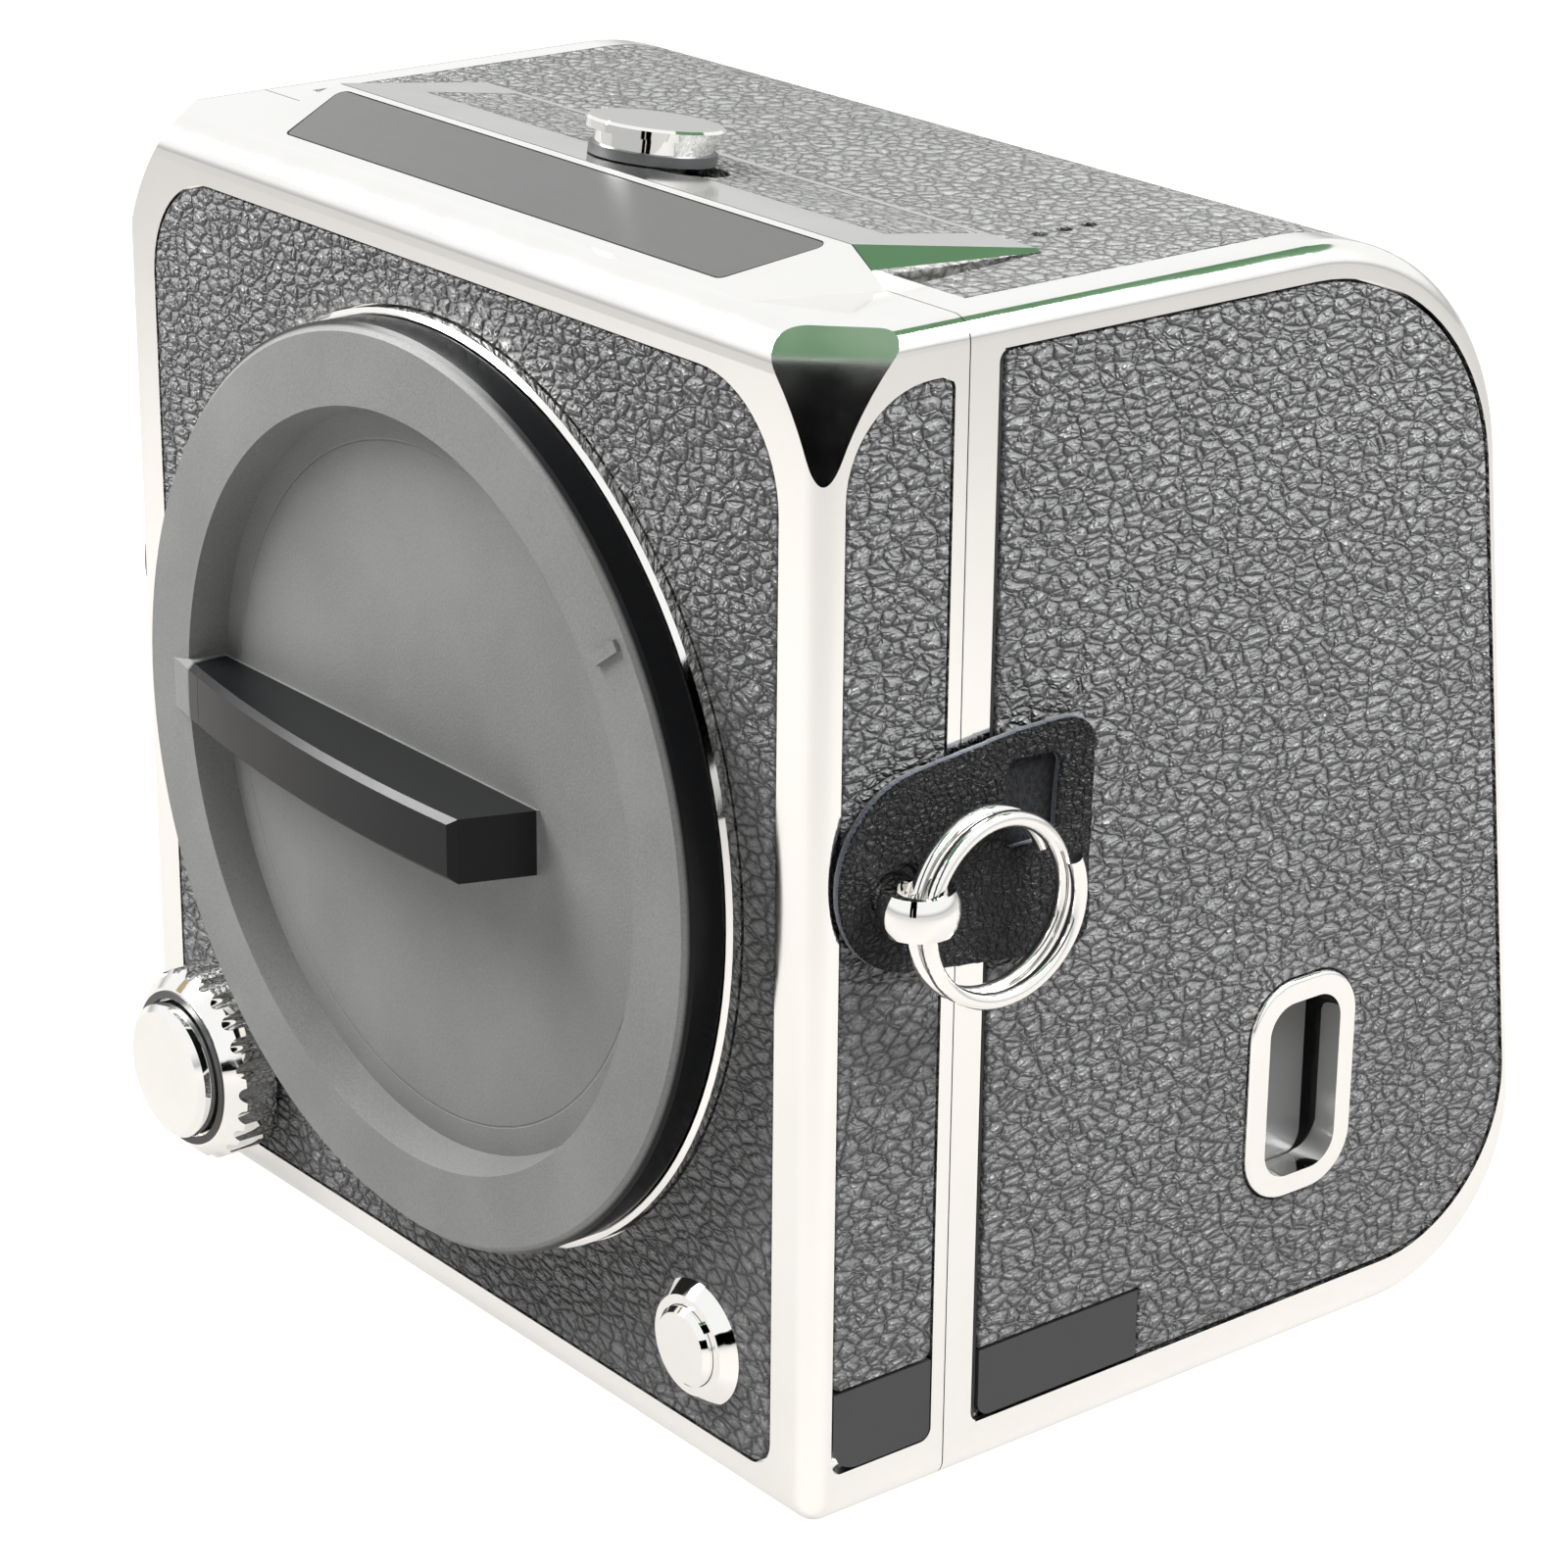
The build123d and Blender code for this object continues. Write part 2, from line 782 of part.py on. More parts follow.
# Lens mount: a flanged ring whose inward lugs leave gaps for the lugs of a lens or a cap
lug_step = 2 * half_turn / lug_count
with BuildPart() as lens_mount_ring:
    with BuildSketch(at_depth(ring_seat)):
        with Locations((0, lens_axis)):
            Circle(ring_radius)
            Circle(ring_bore, mode=Mode.SUBTRACT)
    extrude(amount=ring_seat + ring_proud)
    chamfer(lens_mount_ring.faces().sort_by(Axis.Y)[0].edges(), ring_chamfer)
    for turn in range(lug_count):
        with BuildSketch(at_depth(lug_thickness - ring_proud + ring_chamfer)):
            band(lug_bore, ring_bore + ring_chamfer, lug_first_angle + turn * lug_step, lug_angle)
        extrude(amount=lug_thickness)
    with BuildSketch(at_depth(ring_seat + overrun)):
        with Locations((0, lens_axis)):
            with PolarLocations(mount_screw_circle, mount_screw_count):
                Circle(screw_shank + seat_gap)
        with Locations((lock_x, lock_z)):
            Circle(lock_pin_radius + running_gap)
    extrude(amount=ring_seat + ring_proud + 2 * overrun, mode=Mode.SUBTRACT)
    with BuildSketch(at_depth(screw_sink + screw_head_height - ring_proud)):
        with Locations((0, lens_axis)):
            with PolarLocations(mount_screw_circle, mount_screw_count):
                Circle(screw_head + seat_gap)
    extrude(amount=screw_sink + screw_head_height + overrun, mode=Mode.SUBTRACT)
save(lens_mount_ring, "lens_mount_ring")

with BuildPart() as lens_mount_screws:
    with BuildSketch(at_depth(screw_sink + screw_head_height - ring_proud)):
        with Locations((0, lens_axis)):
            with PolarLocations(mount_screw_circle, mount_screw_count):
                Circle(screw_head)
    extrude(amount=screw_head_height)
    with BuildSketch(at_depth(wall)):
        with Locations((0, lens_axis)):
            with PolarLocations(mount_screw_circle, mount_screw_count):
                Circle(screw_shank)
    extrude(amount=wall + ring_proud - screw_sink - screw_head_height)
    with BuildSketch(at_depth(screw_sink + screw_slot_depth - ring_proud)):
        with Locations((0, lens_axis)):
            with PolarLocations(mount_screw_circle, mount_screw_count):
                Rectangle(screw_slot, screw_slot)
    extrude(amount=screw_slot_depth + overrun, mode=Mode.SUBTRACT)
save(lens_mount_screws, "lens_mount_screws")

# Light chamber: a tube behind the mount with a frame at its end, held by a flange behind the front wall
with BuildPart() as light_chamber:
    chamber_front = ring_seat + seat_gap
    sleeve(0, lens_axis, throat_radius - throat_wall, throat_radius, chamber_front, throat_end)
    sleeve(0, lens_axis, throat_radius - throat_wall, throat_flange, wall + seat_gap,
           wall + throat_flange_thickness)
    with BuildSketch(at_depth(throat_end)):
        with Locations((0, lens_axis)):
            Circle(throat_radius)
            RectangleRounded(throat_window_width, throat_window_height, throat_end_wall, mode=Mode.SUBTRACT)
    extrude(amount=throat_end_wall)
    with BuildSketch(at_depth(wall + throat_flange_thickness + overrun)):
        with Locations((lock_x, lock_z)):
            Circle(lock_pin_radius + running_gap)
    extrude(amount=throat_flange_thickness + overrun + running_gap, mode=Mode.SUBTRACT)
save(light_chamber, "light_chamber")

with BuildPart() as lens_contact_block:
    with BuildSketch(at_depth(contact_front + contact_block_depth)):
        band(contact_inner, throat_radius - throat_wall - seat_gap, contact_angle, contact_span)
    extrude(amount=contact_block_depth)
    with BuildSketch(at_depth(contact_front + contact_block_depth)):
        for step in range(contact_count):
            with Locations(round_the_lens(contact_ring, contact_angle + (step - (contact_count - 1) / 2)
                                          * contact_pitch_angle)):
                Circle(contact_radius)
    extrude(amount=contact_block_depth + contact_proud)
save(lens_contact_block, "lens_contact_block")

# Lens lock: a pin through the mount ring, on an arm that the release button pushes
with BuildPart() as lens_lock_pin:
    with BuildSketch(at_depth(lock_arm_y)):
        with Locations((lock_x, lock_z)):
            Circle(lock_pin_radius)
    extrude(amount=lock_arm_y + ring_proud + lock_pin_proud)
    chamfer(lens_lock_pin.faces().sort_by(Axis.Y)[0].edges(), lock_pin_radius / 4)
    with BuildSketch(at_depth(lock_arm_y + lock_arm_thickness)):
        SlotCenterPoint(((lock_x + release_x) / 2, (lock_z + release_z) / 2), (release_x, release_z),
                        2 * lock_arm_half)
    extrude(amount=lock_arm_thickness)
save(lens_lock_pin, "lens_lock_pin")

with BuildPart() as lens_release_bezel:
    button_bore = release_radius + running_gap
    stem_bore = release_stem + running_gap
    lathe(release_x, release_z,
          [(button_bore, -bezel_proud), (bezel_lip, -bezel_proud), (bezel_radius, 0), (bezel_tube, 0),
           (bezel_tube, bezel_tube_length), (stem_bore, bezel_tube_length),
           (stem_bore, bezel_tube_length - bezel_floor), (button_bore, bezel_tube_length - bezel_floor)])
save(lens_release_bezel, "lens_release_bezel")

with BuildPart() as lens_release_button:
    lathe(release_x, release_z,
          [(0, -release_proud), (release_radius - button_round, -release_proud),
           (release_radius, button_round - release_proud), (release_radius, 0), (release_stem, 0),
           (release_stem, release_stem_end), (0, release_stem_end)])
save(lens_release_button, "lens_release_button")

with BuildPart() as lens_release_spring:
    sleeve(release_x, release_z, release_stem + free_gap, release_radius - free_gap, seat_gap,
           bezel_tube_length - bezel_floor - seat_gap)
save(lens_release_spring, "lens_release_spring")

# Control dial: a fluted ring on a fixed sleeve, with the shutter button in a cup in its face
with BuildPart() as dial_sleeve:
    sleeve_top = cup_floor_y + running_gap
    lathe(dial_x, dial_z,
          [(sleeve_bore, sleeve_top), (sleeve_radius + sleeve_lip, sleeve_top),
           (sleeve_radius + sleeve_lip, sleeve_top + sleeve_lip_thickness),
           (sleeve_radius, sleeve_top + sleeve_lip_thickness), (sleeve_radius, wall), (sleeve_flange, wall),
           (sleeve_flange, wall + sleeve_flange_thickness),
           (shutter_stem + running_gap, wall + sleeve_flange_thickness), (shutter_stem + running_gap, wall),
           (sleeve_bore, wall)])
save(dial_sleeve, "dial_sleeve")

with BuildPart() as control_dial:
    dial_bore = sleeve_radius + running_gap
    lip_bore = sleeve_radius + sleeve_lip + running_gap
    lip_seat = cup_floor_y + sleeve_lip_thickness + 2 * running_gap
    lathe(dial_x, dial_z,
          [(dial_bore, dial_back_y), (dial_radius - dial_edge, dial_back_y),
           (dial_radius, dial_back_y - dial_edge),
           (dial_radius, dial_back_y - dial_band), (dial_front_radius, dial_face_y),
           (dial_cup_radius, dial_face_y),
           (dial_cup_radius, cup_floor_y), (lip_bore, cup_floor_y), (lip_bore, lip_seat),
           (dial_bore, lip_seat)])
    # Flutes round the band, and a groove in the face for the black ring
    with BuildSketch(at_depth(dial_back_y + overrun)):
        with Locations((dial_x, dial_z)):
            with PolarLocations(dial_radius + dial_flute_rise, dial_flute_count):
                Circle(dial_flute_radius)
    extrude(amount=dial_band + dial_bevel + 2 * overrun, mode=Mode.SUBTRACT)
    with BuildSketch(at_depth(dial_face_y + dial_insert_depth)):
        with Locations((dial_x, dial_z)):
            Circle(dial_cup_radius + dial_insert_width)
            Circle(dial_cup_radius, mode=Mode.SUBTRACT)
    extrude(amount=dial_insert_depth + overrun, mode=Mode.SUBTRACT)
save(control_dial, "control_dial")

with BuildPart() as dial_ring_insert:
    sleeve(dial_x, dial_z, dial_cup_radius, dial_cup_radius + dial_insert_width,
           dial_face_y - dial_insert_proud,
           dial_face_y + dial_insert_depth)
save(dial_ring_insert, "dial_ring_insert")

with BuildPart() as shutter_button:
    dish_radius = shutter_radius * shutter_dish_share
    dish_middle = (dish_radius / 2, shutter_front_y + shutter_dish_depth * shutter_dish_share)
    hub_radius = sleeve_bore - running_gap
    with BuildSketch(turned(dial_x, dial_z)) as profile:
        with BuildLine():
            ThreePointArc((0, shutter_front_y + shutter_dish_depth), dish_middle,
                          (dish_radius, shutter_front_y))
            Polyline((dish_radius, shutter_front_y), (shutter_radius, shutter_front_y + button_round),
                     (shutter_radius, shutter_back_y), (hub_radius, shutter_back_y),
                     (hub_radius, shutter_hub_y),
                     (shutter_stem, shutter_hub_y), (shutter_stem, shutter_stem_y), (0, shutter_stem_y),
                     (0, shutter_front_y + shutter_dish_depth))
        make_face()
    revolve(axis=axis_y(dial_x, dial_z))
save(shutter_button, "shutter_button")

with BuildPart() as shutter_spring:
    sleeve(dial_x, dial_z, shutter_stem + free_gap, sleeve_bore - free_gap, shutter_hub_y + seat_gap,
           wall - seat_gap)
save(shutter_spring, "shutter_spring")

with BuildPart() as dial_encoder:
    sleeve(dial_x, dial_z, sleeve_flange + seat_gap, encoder_radius, wall + seat_gap,
           wall + encoder_thickness)
save(dial_encoder, "dial_encoder")

with BuildPart() as shutter_switch:
    with BuildSketch(at_depth(frame_front)):
        with Locations((dial_x, dial_z)):
            RectangleRounded(switch_size, switch_size, switch_round)
    extrude(amount=switch_height)
save(shutter_switch, "shutter_switch")

# Rear frame of the front module: the light chamber passes through it, and the back's latch and hooks hold it
with BuildPart() as front_rear_frame:
    with BuildSketch(at_depth(frame_rear)):
        with Locations((0, body_height / 2)):
            RectangleRounded(2 * (inner_half - seam_gap), body_height - 2 * (wall + seam_gap), wall / 2)
        with Locations((0, lens_axis)):
            Circle(throat_radius + seat_gap, mode=Mode.SUBTRACT)
        with Locations((catch_travel / 2, latch_z + latch_thickness / 2)):
            Rectangle(2 * latch_half + catch_travel + 2 * free_gap, latch_thickness + 2 * free_gap,
                      mode=Mode.SUBTRACT)
        with Locations((hook_x, hook_z), (-hook_x, hook_z)):
            Rectangle(hook_width + 2 * free_gap, hook_height + 2 * free_gap, mode=Mode.SUBTRACT)
    extrude(amount=frame_plate_thickness)
    # Contact strip towards the back
    with BuildSketch(at_depth(frame_rear)):
        with Locations((0, pad_z)):
            Rectangle(pad_width, pad_height)
    extrude(amount=2 * frame_plate_thickness)
    with BuildSketch(at_depth(frame_rear)):
        with Locations((0, pad_z)):
            with GridLocations(pad_pitch, pad_pitch, pad_count, 1):
                Circle(pad_pin_radius)
    extrude(amount=-seam_gap)
save(front_rear_frame, "front_rear_frame")

with BuildPart() as tripod_bush:
    with BuildSketch(at_height(0)):
        with Locations((0, tripod_y)):
            Circle(tripod_bush_radius)
    extrude(amount=tripod_bush_height)
    with BuildSketch(at_height(wall)):
        with Locations((0, tripod_y)):
            Rectangle(2 * tripod_flange, 2 * tripod_bush_radius)
    extrude(amount=tripod_bush_height - wall)
    with BuildSketch(at_height(-overrun)):
        with Locations((0, tripod_y)):
            Circle(tripod_minor_radius)
    extrude(amount=overrun + tripod_depth, mode=Mode.SUBTRACT)
save(tripod_bush, "tripod_bush")


# Strap lugs, split rings and leather tabs on both sides
def ring_place(side, quarter):
    """A point of the split ring's wire, counted in quarter turns from its free end."""
    angle = strap_ring_start + quarter * quarter_turn
    eye_angle = half_turn - strap_ring_drop
    across = strap_pitch * ((angle - eye_angle) / (2 * half_turn) - 1 / 2)
    along = strap_ring_radius * (cos(radians(strap_ring_drop)) + cos(radians(angle)))
    swing = radians(0 if side > 0 else strap_ring_left_swing)
    return spot(side * (eye_x + across * cos(swing) + along * sin(swing)),
                lug_y + along * cos(swing) - across * sin(swing),
                lug_z + strap_ring_radius * (sin(radians(angle)) - sin(radians(strap_ring_drop))))


def least_ring_gap(wire):
    """The least gap between a ring's turns, measured between points along its wire."""
    count = samples_per_half_turn * strap_ring_half_turns
    apart = count // strap_ring_half_turns
    places = [wire @ (step / count) for step in range(count + 1)]
    spans = [(a - b).length for i, a in enumerate(places) for b in places[i + apart:]]
    return min(spans) - 2 * strap_wire


for side, word in ((1, "right"), (-1, "left")):
    ball_x = half_width + lug_ball_offset
    stem_start = inner_half - lug_nut
    with BuildPart() as strap_lug:
        with Locations(spot(side * ball_x, lug_y, lug_z)):
            Sphere(lug_ball)
        with BuildSketch(at_side(side, half_width + lug_stem_end, 2 * lug_ball)):
            with Locations((lug_y, lug_z)):
                Rectangle(2 * lug_ball, 2 * lug_half_height)
        extrude(amount=2 * lug_ball, mode=Mode.INTERSECT)
        with BuildSketch(at_side(side, stem_start, ball_x - stem_start)):
            with Locations((lug_y, lug_z)):
                Circle(lug_stem)
        extrude(amount=ball_x - stem_start)
        with BuildSketch(at_side(side, stem_start, lug_nut)):
            with Locations((lug_y, lug_z)):
                Circle(lug_stem + lug_nut)
        extrude(amount=lug_nut)
        with BuildSketch(at_height(lug_z - lug_half_height - overrun)):
            with Locations((side * eye_x, lug_y)):
                Circle(eye_radius)
        extrude(amount=2 * (lug_half_height + overrun), mode=Mode.SUBTRACT)
    save(strap_lug, f"strap_lug_{word}")
    with BuildPart() as strap_tab:
        with BuildSketch(at_side(side, half_width + tab_gap, tab_thickness)):
            with BuildLine():
                CenterArc((tab_nose_y, tab_nose_z), tab_nose_radius, 0, 2 * half_turn)
                CenterArc((tab_head_y, tab_head_z), tab_head_radius, 0, 2 * half_turn)
                CenterArc((tab_foot_y, tab_foot_z), tab_foot_radius, 0, 2 * half_turn)
            make_hull()
            with Locations((lug_y, lug_z)):
                Circle(tab_hole, mode=Mode.SUBTRACT)
            with Locations((tab_slot_y, tab_slot_z)):
                RectangleRounded(tab_slot_width, tab_slot_height, tab_slot_round, mode=Mode.SUBTRACT)
        extrude(amount=tab_thickness)
    save(strap_tab, f"strap_tab_{word}")
    with BuildPart() as strap_ring:
        with BuildLine() as wire_path:
            for half in range(strap_ring_half_turns):
                ThreePointArc(ring_place(side, 2 * half), ring_place(side, 2 * half + 1),
                              ring_place(side, 2 * half + 2))
        with BuildSketch(Plane(origin=wire_path.line @ 0, z_dir=wire_path.line % 0)):
            Circle(strap_wire)
        sweep()
    save(strap_ring, f"strap_ring_{word}")
    print("least gap between the turns of the", word, "strap ring:",
          round(least_ring_gap(wire_path.line), 3), "mm")

# Body cap: a dished disc with a grip bar, and a plug whose lugs stand in the mount's gaps
with BuildPart() as grip_bar:
    grip_left = -cap_recess_radius - grip_root
    grip_crown = cap_floor_y - grip_proud
    with BuildSketch(at_height(lens_axis - grip_half)):
        with BuildLine():
            grip_front = ThreePointArc((grip_left, cap_front_y), (grip_crown_x, grip_crown),
                                       (grip_end - grip_end_slope, grip_crown + grip_end_drop))
            Polyline(grip_front @ 1, (grip_end, cap_back_y), (grip_left, cap_back_y), grip_front @ 0)
        make_face()
    extrude(amount=2 * grip_half)
    chamfer(grip_bar.faces().sort_by(Axis.Y)[0].edges().sort_by(Axis.X)[1:], grip_bevel)

with BuildPart() as body_cap:
    plug_inner = cap_plug_radius - cap_plug_wall
    lathe(0, lens_axis,
          [(0, cap_floor_y), (cap_recess_radius - cap_recess_draft, cap_floor_y),
           (cap_recess_radius, cap_front_y),
           (cap_radius - cap_edge_round, cap_front_y), (cap_radius, cap_front_y + cap_edge_round),
           (cap_radius, cap_back_y), (cap_plug_radius, cap_back_y), (cap_plug_radius, cap_plug_length),
           (plug_inner, cap_plug_length), (plug_inner, cap_floor_y + cap_floor),
           (0, cap_floor_y + cap_floor)])
    for turn in range(lug_count):
        with BuildSketch(at_depth(cap_plug_length)):
            band(cap_plug_radius - cap_plug_wall / 2, ring_bore - cap_lug_clearance,
                 lug_first_angle + (turn + 1 / 2) * lug_step, cap_lug_angle)
        extrude(amount=cap_lug_thickness)
    add(grip_bar.part)
    # Index tab on the rim, and the notch that the lens lock's pin stands in
    with BuildSketch(at_depth(cap_front_y + index_proud)):
        with Locations(round_the_lens((cap_recess_radius + cap_radius) / 2, index_angle)):
            Rectangle(index_length, index_width, rotation=index_angle)
    extrude(amount=2 * index_proud)
    with BuildSketch(at_depth(cap_back_y + overrun)):
        with Locations((lock_x, lock_z)):
            Circle(lock_pin_radius + free_gap)
    extrude(amount=overrun + lock_pin_proud - cap_gap + free_gap, mode=Mode.SUBTRACT)
save(body_cap, "body_cap")

# Digital back
with BuildPart() as back_trim:
    with BuildSketch(at_side(1, -trim_end_half, 2 * trim_end_half)):
        outline([(back_start, ridge_height), (trim_end_y, body_height + trim_end_height),
                 (trim_end_y, body_height - rim_round), (back_start, body_height - rim_round)], [0, 0, 0, 0])
    extrude(amount=2 * trim_end_half)
    for side in (1, -1):
        split(bisect_by=bevelled_end(side, trim_end_half, trim_end_y), keep=Keep.BOTTOM)

with BuildPart() as back_housing:
    with BuildSketch(at_side(1, -half_width, body_width)):
        back_outline(back_start, 0, body_height, 0, [0, back_base_round, back_top_round, 0])
    extrude(amount=body_width)
    for end in (0, -1):
        rims = back_housing.faces().sort_by(Axis.X)[end].edges()
        fillet([rim for rim in rims if rim.center().Y > front_y + plate_front_y], rim_round)
    # Pocket for the top leather, over the top and down the rear corner, round the raised trim
    with BuildSketch(at_side(1, -half_width + top_leather_side, body_width - 2 * top_leather_side)):
        top_sheet_outline()
    extrude(amount=body_width - 2 * top_leather_side, mode=Mode.SUBTRACT)
    add(back_trim.part)
    # The cavity, open to the front
    with BuildSketch(at_side(1, -inner_half, 2 * inner_half)):
        back_outline(back_start - overrun, wall, inner_top, back_rear_wall,
                     [0, cavity_base_round, cavity_top_round, 0])
    extrude(amount=2 * inner_half, mode=Mode.SUBTRACT)
    # Door pocket with its ledge, hinge channel and pin holes on the +X side
    with BuildSketch(at_side(1, door_back, half_width - door_back + overrun)):
        panel_outline(0)
    extrude(amount=half_width - door_back + overrun, mode=Mode.SUBTRACT)
    with BuildSketch(at_side(1, inner_half - overrun, wall)):
        back_outline(panel_start + door_ledge, panel_bottom + door_ledge, panel_high - door_ledge,
                     back_rear_wall,
                     [0, cavity_base_round, cavity_top_round, 0])
    extrude(amount=wall, mode=Mode.SUBTRACT)
    with BuildSketch(at_height(panel_bottom)):
        with Locations((hinge_x, hinge_y)):
            Circle(door_hinge_radius + door_channel_gap)
    extrude(amount=panel_high - panel_bottom, mode=Mode.SUBTRACT)
    with BuildSketch(at_height(panel_bottom - door_pin_hold)):
        with Locations((hinge_x, hinge_y)):
            Circle(hinge_pin + seat_gap)
    extrude(amount=panel_high - panel_bottom + 2 * door_pin_hold, mode=Mode.SUBTRACT)
    # Leather pocket, port pocket and port hinge on the -X side
    with BuildSketch(at_side(-1, half_width - leather_thickness, leather_thickness + overrun)):
        panel_outline(0)
    extrude(amount=leather_thickness + overrun, mode=Mode.SUBTRACT)
    with BuildSketch(at_side(-1, inner_half - overrun, wall + overrun)):
        port_window(port_ledge)
    extrude(amount=wall + overrun, mode=Mode.SUBTRACT)
    with BuildSketch(at_side(-1, port_back - seam_gap, half_width - port_back + overrun)):
        port_window(-port_hinge_gap)
    extrude(amount=half_width - port_back + overrun, mode=Mode.SUBTRACT)
    with BuildSketch(at_height(port_z - port_height / 2 - port_hinge_gap)):
        with Locations((-port_hinge_x, port_hinge_y)):
            Circle(port_hinge_radius + port_hinge_gap)
    extrude(amount=port_height + 2 * port_hinge_gap, mode=Mode.SUBTRACT)
    with BuildSketch(at_height(port_z - port_height / 2 - port_pin_hold)):
        with Locations((-port_hinge_x, port_hinge_y)):
            Circle(hinge_pin + seat_gap)
    extrude(amount=port_height + 2 * port_pin_hold, mode=Mode.SUBTRACT)
    # Pocket for the leather strip and the catch's slot, square to the sloping trim
    with BuildSketch(trim_plane):
        strip_outline(0)
    extrude(amount=-leather_thickness, mode=Mode.SUBTRACT)
    with BuildSketch(trim_plane.offset(overrun)):
        catch_slot(0)
    extrude(amount=-(ridge_height - inner_top + 2 * overrun), mode=Mode.SUBTRACT)
    # Sound holes in the top, and the screen's pocket with its pin holes
    with BuildSketch(at_height(body_height - leather_thickness - speaker_depth)):
        with Locations(*speaker_places):
            Circle(speaker_radius)
    extrude(amount=speaker_depth + leather_thickness, mode=Mode.SUBTRACT)
    with BuildSketch(rear_plane.offset(-screen_pocket_depth)):
        RectangleRounded(screen_width + 2 * screen_gap, screen_height + 2 * screen_gap, screen_pocket_corner)
    extrude(amount=screen_pocket_depth + overrun, mode=Mode.SUBTRACT)
    with BuildSketch(screen_hinge.offset(-screen_width / 2 - screen_gap - screen_pin_hold)):
        Circle(hinge_pin + seat_gap)
    extrude(amount=screen_width + 2 * (screen_gap + screen_pin_hold), mode=Mode.SUBTRACT)
save(back_housing, "back_housing")

with BuildPart() as top_leather:
    skin_half = half_width - top_leather_side - inlay_gap
    with BuildSketch(at_side(1, -skin_half, 2 * skin_half)):
        top_sheet_outline()
    extrude(amount=2 * skin_half)
    with BuildSketch(at_height(body_height - back_top_round)):
        front_half = facet_foot_half + inlay_gap
        rear_half = trim_end_half + inlay_gap
        outline([(-front_half, back_start), (front_half, back_start), (rear_half, trim_end_y + inlay_gap),
                 (-rear_half, trim_end_y + inlay_gap)], [0, 0, 0, 0])
        with Locations(*speaker_places):
            Circle(speaker_radius)
    extrude(amount=back_top_round + overrun, mode=Mode.SUBTRACT)
save(top_leather, "top_leather")

with BuildPart() as strip_leather:
    with BuildSketch(trim_plane):
        strip_outline(inlay_gap)
    extrude(amount=-leather_thickness)
    with BuildSketch(trim_plane.offset(overrun)):
        catch_slot(inlay_gap)
    extrude(amount=-leather_thickness - 2 * overrun, mode=Mode.SUBTRACT)
save(strip_leather, "strip_leather")

with BuildPart() as back_side_leather:
    with BuildSketch(at_side(-1, half_width - leather_thickness, leather_thickness)):
        panel_outline(inlay_gap)
    extrude(amount=leather_thickness)
    fillet(back_side_leather.faces().sort_by(Axis.X)[0].outer_wire().edges(), leather_edge_round)
    with BuildSketch(at_side(-1, half_width - leather_thickness, leather_thickness)):
        port_window(-port_hinge_gap - inlay_gap)
    extrude(amount=leather_thickness, mode=Mode.SUBTRACT)
save(back_side_leather, "back_side_leather_left")

# Front plate of the back, with the hooks that hold on to the front module
with BuildPart() as back_front_plate:
    with BuildSketch(at_depth(plate_back_y)):
        with Locations((0, body_height / 2)):
            RectangleRounded(2 * (inner_half - seam_gap), body_height - 2 * (wall + seam_gap), wall / 2)
        with Locations((0, lens_axis)):
            Rectangle(window_width, window_height, mode=Mode.SUBTRACT)
        with Locations((catch_travel / 2, latch_z + latch_thickness / 2)):
            Rectangle(2 * latch_half + catch_travel + 2 * free_gap, latch_thickness + 2 * free_gap,
                      mode=Mode.SUBTRACT)
    extrude(amount=plate_thickness)
    hook_tip = plate_front_y - hook_reach
    with BuildSketch(at_depth(plate_front_y)):
        with Locations((hook_x, hook_z), (-hook_x, hook_z)):
            Rectangle(hook_width, hook_height)
    extrude(amount=hook_reach)
    with BuildSketch(at_depth(hook_tip + hook_nose_length)):
        with Locations((hook_x, hook_z + hook_nose / 2), (-hook_x, hook_z + hook_nose / 2)):
            Rectangle(hook_width, hook_height + hook_nose)
    extrude(amount=hook_nose_length)
save(back_front_plate, "back_front_plate")

# Sensor stack, seated on the front plate's back, and the boards behind it
with BuildPart() as sensor_glass:
    with BuildSketch(at_depth(glass_back_y)):
        with Locations((0, lens_axis)):
            Rectangle(glass_width, glass_height)
    extrude(amount=glass_thickness)
save(sensor_glass, "sensor_glass")

with BuildPart() as image_sensor:
    with BuildSketch(at_depth(sensor_back_y)):
        with Locations((0, lens_axis)):
            Rectangle(sensor_width, sensor_height)
    extrude(amount=sensor_thickness)
save(image_sensor, "image_sensor")

with BuildPart() as sensor_holder:
    with BuildSketch(at_depth(holder_back_y)):
        with Locations((0, lens_axis)):
            Rectangle(holder_width, holder_height)
    extrude(amount=holder_back_y - plate_back_y)
    with BuildSketch(at_depth(glass_back_y)):
        with Locations((0, lens_axis)):
            Rectangle(glass_width + 2 * seam_gap, glass_height + 2 * seam_gap)
    extrude(amount=glass_thickness, mode=Mode.SUBTRACT)
    with BuildSketch(at_depth(sensor_back_y)):
        with Locations((0, lens_axis)):
            Rectangle(sensor_width + 2 * seam_gap, sensor_height + 2 * seam_gap)
    extrude(amount=sensor_back_y - plate_back_y, mode=Mode.SUBTRACT)
    with BuildSketch(at_depth(holder_back_y)):
        with Locations((0, lens_axis)):
            Rectangle(holder_opening_width, holder_opening_height)
    extrude(amount=holder_back_y - plate_back_y, mode=Mode.SUBTRACT)
save(sensor_holder, "sensor_holder")

with BuildPart() as heat_spreader:
    with BuildSketch(at_depth(spreader_back_y)):
        with Locations((0, lens_axis)):
            Rectangle(spreader_width, spreader_height)
    extrude(amount=spreader_thickness)
    with BuildSketch(at_depth(board_front_y)):
        with Locations((0, lens_axis)):
            with GridLocations(spreader_width - 2 * spreader_post_inset,
                               spreader_height - 2 * spreader_post_inset, 2, 2):
                Circle(spreader_post_radius)
    extrude(amount=board_gap)
save(heat_spreader, "heat_spreader")

